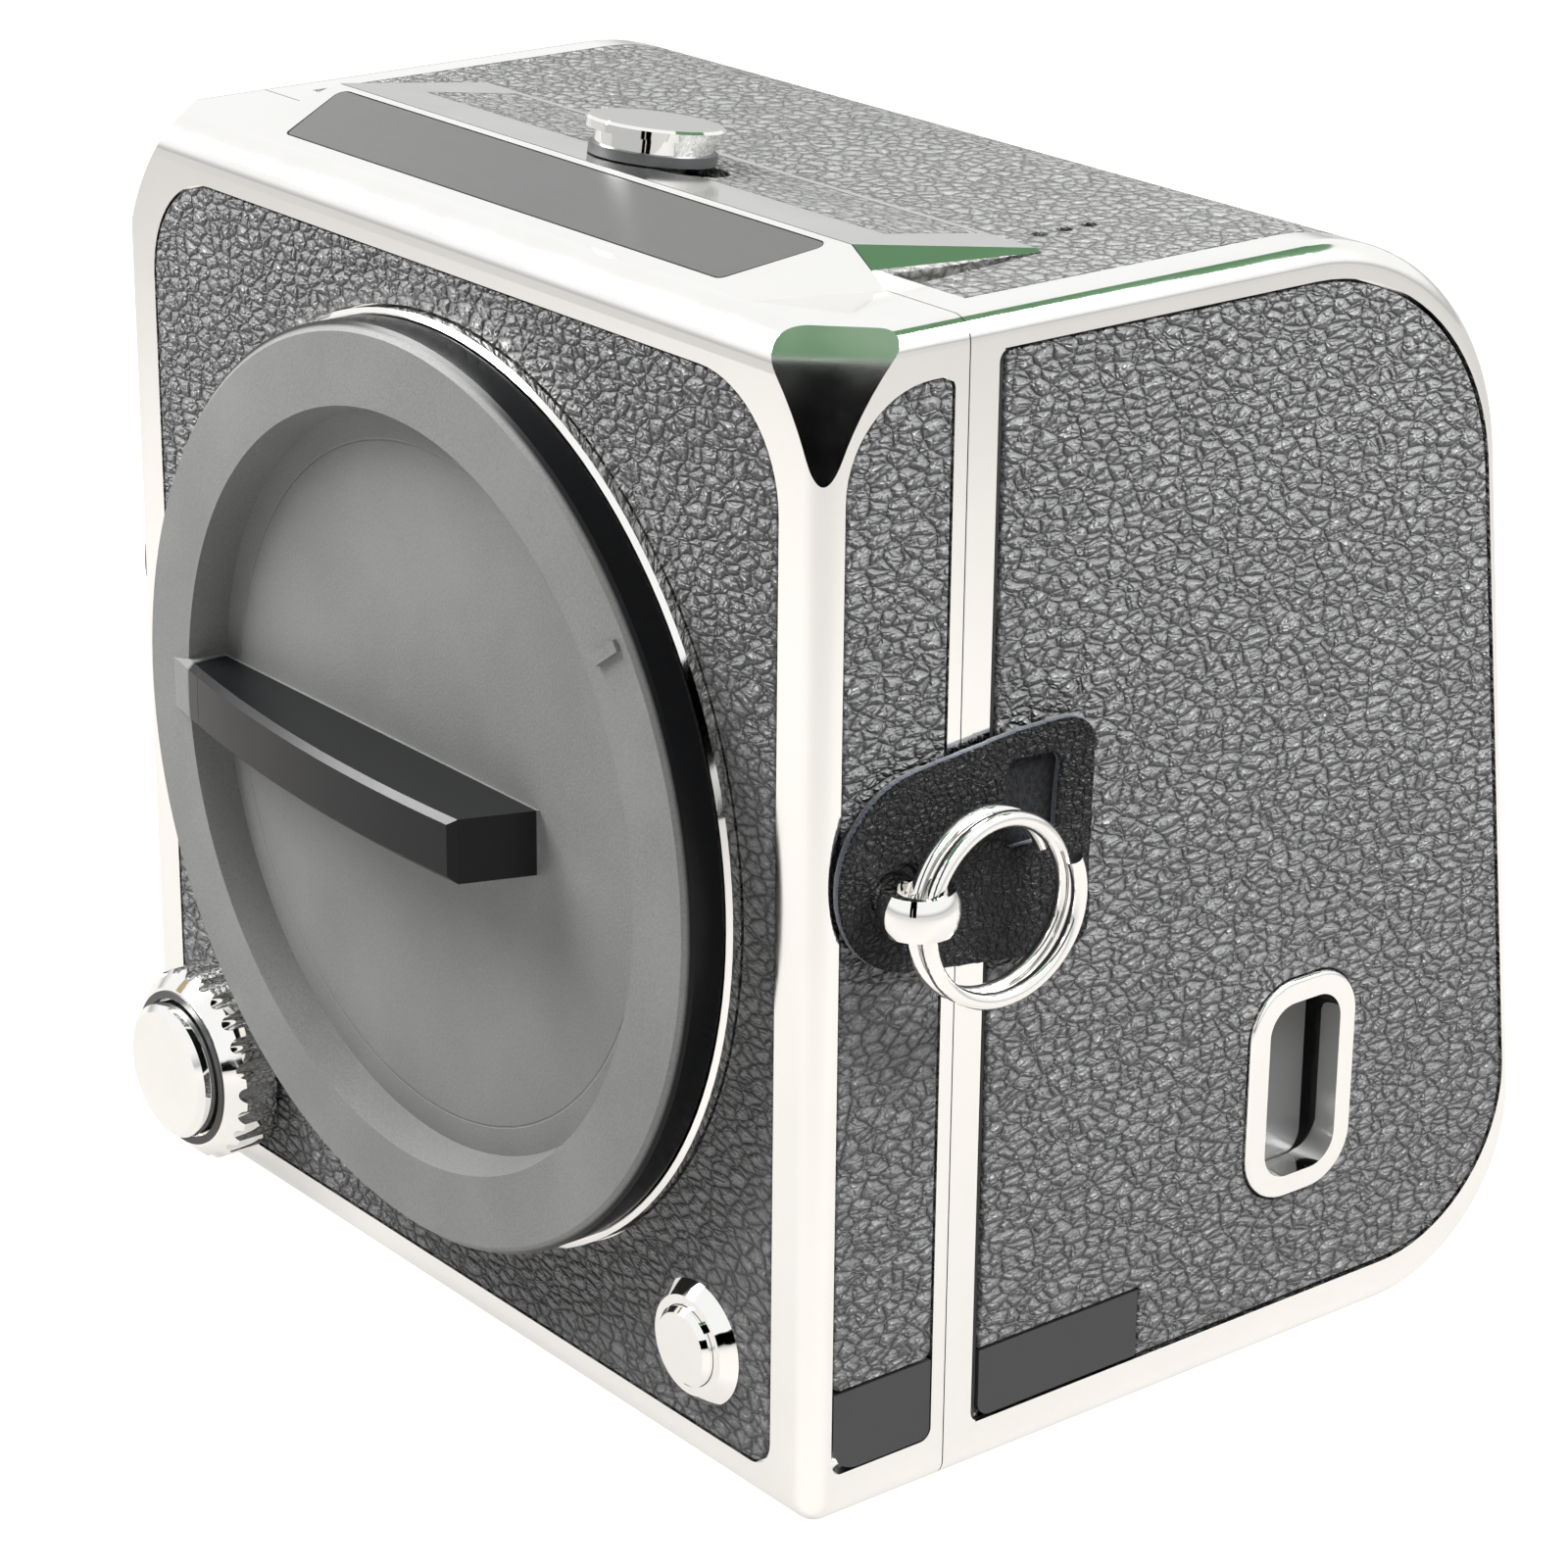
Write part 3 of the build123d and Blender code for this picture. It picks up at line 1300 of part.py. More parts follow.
with BuildPart() as main_circuit_board:
    with BuildSketch(at_depth(board_back_y)):
        with Locations((0, lens_axis)):
            Rectangle(board_width, board_height)
    extrude(amount=board_thickness)
    with BuildSketch(at_depth(board_back_y)):
        with Locations((0, lens_axis)):
            with GridLocations(chip_pitch, chip_pitch, chip_columns, chip_rows):
                Rectangle(chip_size, chip_size)
    extrude(amount=-chip_height)
save(main_circuit_board, "main_circuit_board")

# Battery bay, open to the door, with the card slots above the battery
bay_length = bay_outer - bay_inner
bay_depth = bay_rear - bay_front
with BuildPart() as battery_bay:
    with BuildSketch(at_side(1, bay_inner, bay_length)):
        box_outline(bay_front, bay_rear, bay_bottom, bay_top)
    extrude(amount=bay_length)
    with BuildSketch(at_side(1, bay_inner + bay_wall, bay_length)):
        box_outline(bay_front + bay_wall, bay_rear - bay_wall, bay_bottom + bay_wall,
                    battery_low + battery_height + free_gap)
    extrude(amount=bay_length, mode=Mode.SUBTRACT)
    with BuildSketch(at_side(1, bay_outer - card_length - free_gap, card_length + overrun)):
        with Locations((bay_front + bay_depth / 2, card_low)):
            for card in range(card_count):
                with Locations((0, card * card_pitch)):
                    Rectangle(card_width - 2 * card_round, card_thickness + 2 * seam_gap)
    extrude(amount=card_length + overrun, mode=Mode.SUBTRACT)
save(battery_bay, "battery_bay")

with BuildPart() as battery:
    with BuildSketch(at_side(1, bay_inner + bay_wall + free_gap, battery_length)):
        with Locations((bay_front + bay_depth / 2, battery_low + battery_height / 2)):
            RectangleRounded(battery_depth, battery_height, battery_round)
    extrude(amount=battery_length)
save(battery, "battery")

with BuildPart() as memory_cards:
    with BuildSketch(at_side(1, bay_outer - card_length, card_length)):
        with Locations((bay_front + bay_depth / 2, card_low)):
            for card in range(card_count):
                with Locations((0, card * card_pitch)):
                    Rectangle(card_width - 2 * card_round - 2 * seam_gap, card_thickness)
    extrude(amount=card_length)
save(memory_cards, "memory_cards")

# Battery and card door: it turns on a bead along its front edge, and carries leather, a plate and the catch
door_skin = half_width - leather_thickness
door_low = panel_bottom + door_gap
door_height = panel_high - panel_bottom - 2 * door_gap
with BuildPart() as battery_door:
    with BuildSketch(at_side(1, door_back, door_thickness)):
        panel_outline(door_gap)
        box_outline(panel_start - overrun, hinge_y, 0, body_height, mode=Mode.SUBTRACT)
    extrude(amount=door_thickness)
    with BuildSketch(at_height(door_low)):
        with Locations((hinge_x, hinge_y)):
            Circle(door_hinge_radius)
    extrude(amount=door_height)
    with BuildSketch(at_side(1, door_skin, leather_thickness + overrun)):
        box_outline(panel_start + door_leather_front, hinge_y + 2 * door_hinge_radius, 0, body_height)
    extrude(amount=leather_thickness + overrun, mode=Mode.SUBTRACT)
    # Box for the catch behind the ringed recess
    with BuildSketch(at_side(1, door_back - catch_box_depth, catch_box_depth)):
        with Locations((finger_y, finger_z)):
            RectangleRounded(tube_width + 2 * catch_box_wall, tube_height + 2 * catch_box_wall, finger_round)
    extrude(amount=catch_box_depth)
    with BuildSketch(at_side(1, finger_floor, half_width - finger_floor)):
        finger_outline(finger_rim - finger_tube - seat_gap)
    extrude(amount=half_width - finger_floor, mode=Mode.SUBTRACT)
    for low in (door_low, door_low + door_height - door_pin_grip):
        with BuildSketch(at_height(low)):
            with Locations((hinge_x, hinge_y)):
                Circle(hinge_pin + running_gap)
        extrude(amount=door_pin_grip, mode=Mode.SUBTRACT)
save(battery_door, "battery_door")

plate_end_y = panel_start + back_plate_length
plate_end_z = panel_bottom + back_plate_height
with BuildPart() as door_leather:
    with BuildSketch(at_side(1, door_skin, leather_thickness)):
        panel_outline(door_gap + seam_gap)
        box_outline(panel_start - overrun, panel_start + door_leather_front + seam_gap, 0, body_height,
                    mode=Mode.SUBTRACT)
        box_outline(panel_start - overrun, plate_end_y, 0, plate_end_z, mode=Mode.SUBTRACT)
    extrude(amount=leather_thickness)
    fillet(door_leather.faces().sort_by(Axis.X)[-1].outer_wire().edges(), leather_edge_round)
    with BuildSketch(at_side(1, door_skin, leather_thickness)):
        finger_outline(-inlay_gap)
    extrude(amount=leather_thickness, mode=Mode.SUBTRACT)
save(door_leather, "door_leather")

with BuildPart() as back_side_plate:
    with BuildSketch(at_side(1, door_skin, leather_thickness)):
        outline([(panel_start + door_leather_front + seam_gap, panel_bottom + door_gap + seam_gap),
                 (plate_end_y - inlay_gap, panel_bottom + door_gap + seam_gap),
                 (plate_end_y - inlay_gap, plate_end_z - inlay_gap),
                 (panel_start + door_leather_front + seam_gap, plate_end_z - inlay_gap)],
                 [plate_round / 2, 0, 0, 0])
    extrude(amount=leather_thickness)
save(back_side_plate, "back_side_plate")

with BuildPart() as door_catch_bezel:
    with BuildSketch(at_side(1, door_skin, leather_thickness + finger_proud)):
        finger_outline(0)
    extrude(amount=leather_thickness + finger_proud)
    fillet(door_catch_bezel.faces().sort_by(Axis.X)[-1].edges(), finger_proud)
    with BuildSketch(at_side(1, door_back, door_thickness)):
        finger_outline(finger_rim - finger_tube)
    extrude(amount=door_thickness)
    with BuildSketch(at_side(1, door_back, door_thickness + leather_thickness + finger_proud)):
        finger_outline(finger_rim)
    extrude(amount=door_thickness + leather_thickness + finger_proud, mode=Mode.SUBTRACT)
save(door_catch_bezel, "door_catch_bezel")

with BuildPart() as door_catch:
    with BuildSketch(at_side(1, slider_inner, slider_thickness)):
        with Locations((slider_y, finger_z)):
            RectangleRounded(slider_width, tube_height - 2 * free_gap, finger_round - finger_rim)
    extrude(amount=slider_thickness)
save(door_catch, "door_catch")

# Pins of the door, the screen and the port cover
with BuildPart() as hinge_pins:
    for low in (panel_bottom - door_pin_hold, panel_high - door_gap - door_pin_grip + free_gap):
        with BuildSketch(at_height(low)):
            with Locations((hinge_x, hinge_y)):
                Circle(hinge_pin)
        extrude(amount=door_pin_hold + door_gap + door_pin_grip - free_gap)
    screen_pin_length = screen_pin_hold + screen_gap + screen_pin_grip - free_gap
    for start in (-screen_width / 2 - screen_gap - screen_pin_hold,
                  screen_width / 2 + screen_gap + screen_pin_hold - screen_pin_length):
        with BuildSketch(screen_hinge.offset(start)):
            Circle(hinge_pin)
        extrude(amount=screen_pin_length)
    port_pin_length = port_pin_hold + port_pin_grip - free_gap
    for low in (port_z - port_height / 2 - port_pin_hold,
                port_z + port_height / 2 + port_pin_hold - port_pin_length):
        with BuildSketch(at_height(low)):
            with Locations((-port_hinge_x, port_hinge_y)):
                Circle(hinge_pin)
        extrude(amount=port_pin_length)
save(hinge_pins, "hinge_pins")

# Tilting screen on the rear face, with its glass and keys
key_pocket = key_depth - key_proud + key_travel + free_gap
screen_face = rear_plane.offset(screen_proud)
with BuildPart() as screen_frame:
    with BuildSketch(screen_face):
        RectangleRounded(screen_width, screen_height, screen_corner)
    extrude(amount=-screen_thickness)
    with BuildSketch(screen_hinge.offset(-screen_width / 2 - overrun)):
        box_outline(0, screen_hinge_inset + overrun, 0, screen_hinge_inset + overrun)
        Circle(screen_hinge_inset, mode=Mode.SUBTRACT)
    extrude(amount=screen_width + 2 * overrun, mode=Mode.SUBTRACT)
    with BuildSketch(screen_face):
        with Locations((0, screen_glass_rise)):
            Rectangle(screen_glass_width + 2 * seam_gap, screen_glass_height + 2 * seam_gap)
    extrude(amount=-screen_glass_thickness, mode=Mode.SUBTRACT)
    with BuildSketch(screen_face):
        with Locations((0, -key_drop)):
            with GridLocations(key_pitch, key_height, key_count, 1):
                RectangleRounded(key_width + 2 * seam_gap, key_height + 2 * seam_gap, key_round + seam_gap)
    extrude(amount=-key_pocket, mode=Mode.SUBTRACT)
    for start in (-screen_width / 2, screen_width / 2 - screen_pin_grip):
        with BuildSketch(screen_hinge.offset(start)):
            Circle(hinge_pin + running_gap)
        extrude(amount=screen_pin_grip, mode=Mode.SUBTRACT)
save(screen_frame, "screen_frame")

with BuildPart() as screen_glass:
    with BuildSketch(screen_face):
        with Locations((0, screen_glass_rise)):
            Rectangle(screen_glass_width, screen_glass_height)
    extrude(amount=-screen_glass_thickness)
save(screen_glass, "screen_glass")

for key in range(key_count):
    with BuildPart() as rear_button:
        with BuildSketch(screen_face.offset(key_proud)):
            with Locations(((key - (key_count - 1) / 2) * key_pitch, -key_drop)):
                RectangleRounded(key_width, key_height, key_round)
        extrude(amount=-key_depth)
    save(rear_button, f"rear_button_{key + 1}")

# Back catch: the knob and its disc slide along a slot in the top, with the latch bar under them
catch_plane = trim_plane.offset(catch_rise)
catch_surface = ridge_height - catch_down * sin(trim_angle)
with BuildPart() as back_catch_knob:
    with BuildSketch(catch_plane.offset(catch_disc_thickness)):
        with Locations((0, catch_down)):
            Circle(catch_neck_radius)
    extrude(amount=catch_neck_height)
    with BuildSketch(catch_plane.offset(catch_disc_thickness + catch_neck_height)):
        with Locations((0, catch_down)):
            Circle(catch_rim_radius)
    extrude(amount=catch_rim_thickness)
    chamfer(back_catch_knob.faces().sort_by(Axis.Z)[-1].edges(), catch_rim_thickness / 4)
    with BuildSketch(catch_plane.offset(catch_disc_thickness)):
        with Locations((0, catch_down)):
            Circle(catch_stem)
    stem_reach = (catch_surface - latch_z - latch_thickness / 2) / cos(trim_angle)
    extrude(amount=-(catch_disc_thickness + stem_reach))
    with BuildSketch(at_height(latch_z)):
        box_outline(-latch_half, latch_half, latch_reach, catch_y + catch_stem / 2)
        box_outline(-latch_half - latch_nose, latch_half, latch_reach, latch_reach + latch_nose_length)
    extrude(amount=latch_thickness)
save(back_catch_knob, "back_catch_knob")

with BuildPart() as back_catch_disc:
    with BuildSketch(catch_plane):
        with Locations((0, catch_down)):
            Circle(catch_disc_radius)
            Circle(catch_stem + seat_gap, mode=Mode.SUBTRACT)
    extrude(amount=catch_disc_thickness)
save(back_catch_disc, "back_catch_disc")

# Ports on the -X side: the cover turns on a bead along its front edge, in front of the sockets
with BuildPart() as port_cover:
    with BuildSketch(at_side(-1, port_back, port_cover_thickness)):
        box_outline(port_hinge_y, port_y + port_width, port_z - port_height / 2, port_z + port_height / 2)
    extrude(amount=port_cover_thickness)
    with BuildSketch(at_height(port_z - port_height / 2)):
        with Locations((-port_hinge_x, port_hinge_y)):
            Circle(port_hinge_radius)
    extrude(amount=port_height)
    for low in (port_z - port_height / 2, port_z + port_height / 2 - port_pin_grip):
        with BuildSketch(at_height(low)):
            with Locations((-port_hinge_x, port_hinge_y)):
                Circle(hinge_pin + running_gap)
        extrude(amount=port_pin_grip, mode=Mode.SUBTRACT)
save(port_cover, "port_cover")

with BuildPart() as port_block:
    with BuildSketch(at_side(-1, port_block_outer - port_block_depth, port_block_depth)):
        port_window(port_ledge + seam_gap)
    extrude(amount=port_block_depth)
    with BuildSketch(at_side(-1, port_block_outer - port_socket_depth, port_socket_depth)):
        with Locations((port_y + port_width / 2, port_z)):
            with GridLocations(port_pitch, port_pitch, 1, port_count):
                RectangleRounded(port_socket_width, port_socket_height, port_socket_width / 3)
                Rectangle(port_tongue, port_socket_height / 2, mode=Mode.SUBTRACT)
    extrude(amount=port_socket_depth, mode=Mode.SUBTRACT)
save(port_block, "port_block")
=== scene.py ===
"""Looks of a medium format digital camera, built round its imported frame.

Metres throughout, and a name that ends in mm holds millimetres. X runs across the camera, the lens mount faces -Y
and Z is up. The origin is the mouth of the tripod socket, so a depth behind the front face is turned into a Y by
adding FRONT_Y. The structure is the frame's own. This script gives each of its nodes a finish, and replaces the
two strap tabs with leather that curls and bends.
"""
from __future__ import annotations

import logging
from dataclasses import dataclass, field
from enum import Enum
from math import atan, cos, radians, sin
from typing import Any, Callable

import bpy
import numpy as np
from mathutils import Matrix, Vector


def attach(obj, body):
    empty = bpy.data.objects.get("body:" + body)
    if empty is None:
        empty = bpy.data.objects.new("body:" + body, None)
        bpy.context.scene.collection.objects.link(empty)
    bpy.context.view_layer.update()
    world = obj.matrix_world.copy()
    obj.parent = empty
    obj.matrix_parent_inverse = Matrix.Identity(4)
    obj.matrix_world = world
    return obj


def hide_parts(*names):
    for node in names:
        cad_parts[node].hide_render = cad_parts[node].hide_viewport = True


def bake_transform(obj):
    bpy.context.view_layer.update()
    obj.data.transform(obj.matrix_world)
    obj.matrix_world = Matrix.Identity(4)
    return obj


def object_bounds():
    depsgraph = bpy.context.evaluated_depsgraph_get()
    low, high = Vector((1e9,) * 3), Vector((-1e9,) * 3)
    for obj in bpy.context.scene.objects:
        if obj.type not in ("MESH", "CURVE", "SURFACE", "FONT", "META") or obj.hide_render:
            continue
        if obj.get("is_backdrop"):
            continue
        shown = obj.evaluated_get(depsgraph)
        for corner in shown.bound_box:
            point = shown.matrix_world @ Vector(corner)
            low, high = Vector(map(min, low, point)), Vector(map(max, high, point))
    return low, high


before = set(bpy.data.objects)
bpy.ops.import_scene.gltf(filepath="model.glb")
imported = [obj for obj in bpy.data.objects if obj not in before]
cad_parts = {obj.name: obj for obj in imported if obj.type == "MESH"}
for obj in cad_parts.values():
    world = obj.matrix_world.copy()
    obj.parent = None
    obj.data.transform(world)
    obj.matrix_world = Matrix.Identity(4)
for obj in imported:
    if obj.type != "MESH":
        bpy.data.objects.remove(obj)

logging.basicConfig(level=logging.INFO, format="%(message)s")
LOG = logging.getLogger("camera")

MM = 0.001
FRONT_Y = -0.0071
NOISE_LOW, NOISE_HIGH = 0.3, 0.7

Colour = tuple[float, float, float]
Triple = tuple[float, float, float]
Span = tuple[float, float]
Link = Any
Rule = Callable[[np.ndarray, np.ndarray], np.ndarray]


class Side(Enum):
    """The two sides of the camera, with the sign of their X."""

    RIGHT = 1
    LEFT = -1


class Grain(Enum):
    """How coarse a leather's pebbles are, in millimetres across."""

    COVER = 1.0
    STRAP = 0.6


class Graph:
    """A node tree, with a short call for each kind of step."""

    def __init__(self, tree: bpy.types.NodeTree) -> None:
        """Takes over a node tree."""
        self.tree = tree

    def feed(self, socket: bpy.types.NodeSocket, value: Any) -> None:
        """Gives a socket its value.

        Args:
            socket: the input.
            value: an output, which is linked to it, or a plain value.
        """
        if isinstance(value, bpy.types.NodeSocket):
            self.tree.links.new(value, socket)
        else:
            socket.default_value = value

    def node(self, kind: str, inputs: dict[Any, Any], **settings: Any) -> bpy.types.Node:
        """Adds a node.

        Args:
            kind: the node's type.
            inputs: values or links by socket name or number.
            settings: the node's own options.

        Returns:
            The node.
        """
        made = self.tree.nodes.new(kind)
        for name, value in settings.items():
            setattr(made, name, value)
        for name, value in inputs.items():
            self.feed(made.inputs[name], value)
        return made

    def math(self, operation: str, first: Any, second: Any = 0.0) -> Link:
        """One step of arithmetic."""
        return self.node("ShaderNodeMath", {0: first, 1: second}, operation=operation).outputs[0]

    def vector(self, operation: str, first: Any, second: Any, output: str = "Vector") -> Link:
        """One step of vector arithmetic."""
        return self.node("ShaderNodeVectorMath", {0: first, 1: second}, operation=operation).outputs[output]

    def between(self, value: Link, low: float, high: float, to_low: float = 0.0, to_high: float = 1.0,
                smooth: bool = True) -> Link:
        """Maps a range of a value on another range, clamped at both ends."""
        return self.node("ShaderNodeMapRange", {"Value": value, 1: low, 2: high, 3: to_low, 4: to_high},
                         interpolation_type="SMOOTHSTEP" if smooth else "LINEAR").outputs[0]

    def spread(self, noise: Link, to_low: float, to_high: float) -> Link:
        """Maps the range in which nearly all noise lies on another range."""
        return self.between(noise, NOISE_LOW, NOISE_HIGH, to_low, to_high)

    def halves(self, first: Link, second: Link) -> Link:
        """The mean of two values."""
        return self.math("ADD", self.math("MULTIPLY", first, 0.5), self.math("MULTIPLY", second, 0.5))

    def rays(self) -> bpy.types.NodeOutputs:
        """The outputs that say which kind of ray asks."""
        return self.node("ShaderNodeLightPath", {}).outputs


class Recipe(Graph):
    """A material's node tree, with calls for the patterns that the finishes use."""

    def __init__(self, name: str) -> None:
        """Starts an empty material with its surface shader.

        Args:
            name: the finish in plain words.
        """
        self.material = bpy.data.materials.new(name)
        self.material.use_nodes = True
        super().__init__(self.material.node_tree)
        self.shader = self.tree.nodes["Principled BSDF"]
        self.place: Link = self.node("ShaderNodeTexCoord", {}).outputs["Object"]

    def set(self, **values: Any) -> None:
        """Feeds the surface shader; a name's underscores stand for spaces."""
        for name, value in values.items():
            self.feed(self.shader.inputs[name.replace("_", " ")], value)

    def fed(self, name: str) -> Link:
        """The output that already feeds an input of the surface shader."""
        return self.shader.inputs[name].links[0].from_socket

    def centred(self, middle_mm: Triple) -> Link:
        """Object places measured from a point."""
        return self.vector("ADD", self.place, tuple(-part * MM for part in middle_mm))

    def stretched(self, scale: Triple, turn: Triple = (0, 0, 0)) -> Link:
        """Object places, stretched and turned for a pattern with a direction."""
        return self.node("ShaderNodeMapping", {"Vector": self.place, "Scale": scale, "Rotation": turn}).outputs[0]

    def noise(self, size_mm: float, detail: float = 3.0, place: Link = None, blur: float = 0.5) -> Link:
        """Soft noise with features of about this size."""
        return self.node("ShaderNodeTexNoise", {"Vector": place or self.place, "Scale": 1 / (size_mm * MM),
                                                "Detail": detail, "Roughness": blur}).outputs["Fac"]

    def shifted(self, size_mm: float, reach_mm: float, place: Link) -> Link:
        """Pushes places about by noise, which bends any pattern that reads them.

        Args:
            size_mm: how far apart the bends are.
            reach_mm: how far places are pushed.
            place: the places.

        Returns:
            The pushed places.
        """
        pushed = self.node("ShaderNodeTexNoise", {"Vector": place, "Scale": 1 / (size_mm * MM),
                                                  "Detail": 2.0}).outputs["Color"]
        even = self.vector("SUBTRACT", pushed, (0.5, 0.5, 0.5))
        scaled = self.node("ShaderNodeVectorMath", {0: even, "Scale": reach_mm * MM}, operation="SCALE")
        return self.vector("ADD", place, scaled.outputs[0])

    def cells(self, size_mm: float, place: Link) -> Link:
        """Distance to the nearest edge between random cells, in shares of their size."""
        return self.node("ShaderNodeTexVoronoi", {"Vector": place, "Scale": 1 / (size_mm * MM), "Randomness": 1.0},
                         feature="DISTANCE_TO_EDGE").outputs["Distance"]

    def tint(self, share: Link, low: Any, high: Any) -> Link:
        """Mixes two colours.

        Args:
            share: how much of the second.
            low: the first, as a plain colour or a link.
            high: the second likewise.

        Returns:
            The colour.
        """
        low, high = [end if isinstance(end, bpy.types.NodeSocket) else (*end, 1) for end in (low, high)]
        return self.node("ShaderNodeMix", {0: share, 6: low, 7: high}, data_type="RGBA").outputs[2]

    def shades(self, share: Link, colour: Colour, low: float, high: float) -> Link:
        """A colour between two shades of itself."""
        return self.tint(share, around(colour, low), around(colour, high))

    def edge(self, value: Link, span_mm: Span, to_low: float = 0.0, to_high: float = 1.0) -> Link:
        """Goes softly from one value to another between two distances."""
        return self.between(value, span_mm[0] * MM, span_mm[1] * MM, to_low, to_high)

    def bump(self, height: Link, depth_mm: float) -> Link:
        """A normal bent by a height between 0 and 1 of this depth."""
        return self.node("ShaderNodeBump", {"Height": height, "Distance": depth_mm * MM,
                                            "Strength": 1.0}).outputs[0]


def around(colour: Colour, share: float) -> Colour:
    """A colour made lighter or darker by a share of itself."""
    return tuple(max(0.0, min(1.0, part * share)) for part in colour)


@dataclass(frozen=True)
class Finish:
    """What every finish has: a name in plain words and a main colour."""

    name: str
    colour: Colour

    def make(self) -> bpy.types.Material:
        """Makes the material.

        Returns:
            The material.
        """
        recipe = Recipe(self.name)
        self.dress(recipe)
        return recipe.material

    def dress(self, recipe: Recipe) -> None:
        """Adds the finish's nodes."""
        raise NotImplementedError


@dataclass(frozen=True)
class Plating(Finish):
    """Chrome or steel: mirror metal whose polish is a little cloudy, with hairlines from wiping.

    The roughness is a base plus cloudy noise of a few millimetres. The height is fine noise, drawn out along one
    way to make hairlines.
    """

    polish: float = 0.05
    cloud: float = 0.03
    cloud_mm: float = 6.0
    cloud_tones: Span = (0.97, 1.03)
    hairline_wide_mm: float = 0.12
    hairline_deep_mm: float = 0.0004
    hairline_range: Span = (0.45, 0.75)
    hairline_share: float = 0.6
    along: Triple = (1.0, 1.0, 0.06)

    def dress(self, recipe: Recipe) -> None:
        """Adds the clouded roughness, the faint change of colour and the hairlines.

        Args:
            recipe: the material in the making.
        """
        cloudy = recipe.noise(self.cloud_mm, detail=4.0)
        lines = recipe.noise(self.hairline_wide_mm, place=recipe.stretched(self.along))
        wiped = recipe.between(lines, *self.hairline_range, 0.0, self.cloud * self.hairline_share)
        rough = recipe.math("ADD", recipe.spread(cloudy, self.polish, self.polish + self.cloud), wiped)
        recipe.set(Metallic=1.0, Roughness=rough, Base_Color=recipe.shades(cloudy, self.colour, *self.cloud_tones),
                   Normal=recipe.bump(lines, self.hairline_deep_mm))


@dataclass(frozen=True)
class BackPlating(Plating):
    """The back's plating, with black paint on the floor and walls of the screen's pocket.

    A point is in the pocket if it lies within the pocket's width and height, both measured on the leaning rear
    face, and deeper than that face. The sizes are the frame's own, a little wider.
    """

    middle_mm: Triple = (0.0, 64.20, 40.5)
    slope: float = 0.126
    half_width_mm: float = 37.45
    half_height_mm: float = 25.45
    skin_mm: float = 0.15
    floor_mm: float = 5.2
    paint: Colour = (0.018, 0.018, 0.019)
    paint_rough: float = 0.55

    def within(self, recipe: Recipe, place: Link, direction: Triple, middle_mm: float, half_mm: float) -> Link:
        """Says where the distance along a direction is near its middle.

        Args:
            recipe: the material in the making.
            place: places measured from the pocket's middle on the rear face.
            direction: a direction of length one.
            middle_mm: the distance's middle.
            half_mm: how far from it still counts.

        Returns:
            1 there and 0 elsewhere.
        """
        along = recipe.vector("DOT_PRODUCT", place, direction, "Value")
        off = recipe.math("ABSOLUTE", recipe.math("SUBTRACT", along, middle_mm * MM))
        return recipe.math("LESS_THAN", off, half_mm * MM)

    def dress(self, recipe: Recipe) -> None:
        """Adds the paint over the plating.

        Args:
            recipe: the material in the making.
        """
        super().dress(recipe)
        place = recipe.centred(self.middle_mm)
        lean = atan(self.slope)
        deep = self.within(recipe, place, (0.0, cos(lean), sin(lean)), -(self.floor_mm + self.skin_mm) / 2,
                           (self.floor_mm - self.skin_mm) / 2)
        level = recipe.math("MULTIPLY", self.within(recipe, place, (1.0, 0.0, 0.0), 0.0, self.half_width_mm),
                            self.within(recipe, place, (0.0, -sin(lean), cos(lean)), 0.0, self.half_height_mm))
        painted = recipe.math("MULTIPLY", deep, level)
        rough = recipe.math("MAXIMUM", recipe.fed("Roughness"), recipe.math("MULTIPLY", painted, self.paint_rough))
        recipe.set(Base_Color=recipe.tint(painted, recipe.fed("Base Color"), self.paint), Roughness=rough,
                   Metallic=recipe.math("SUBTRACT", 1.0, painted))


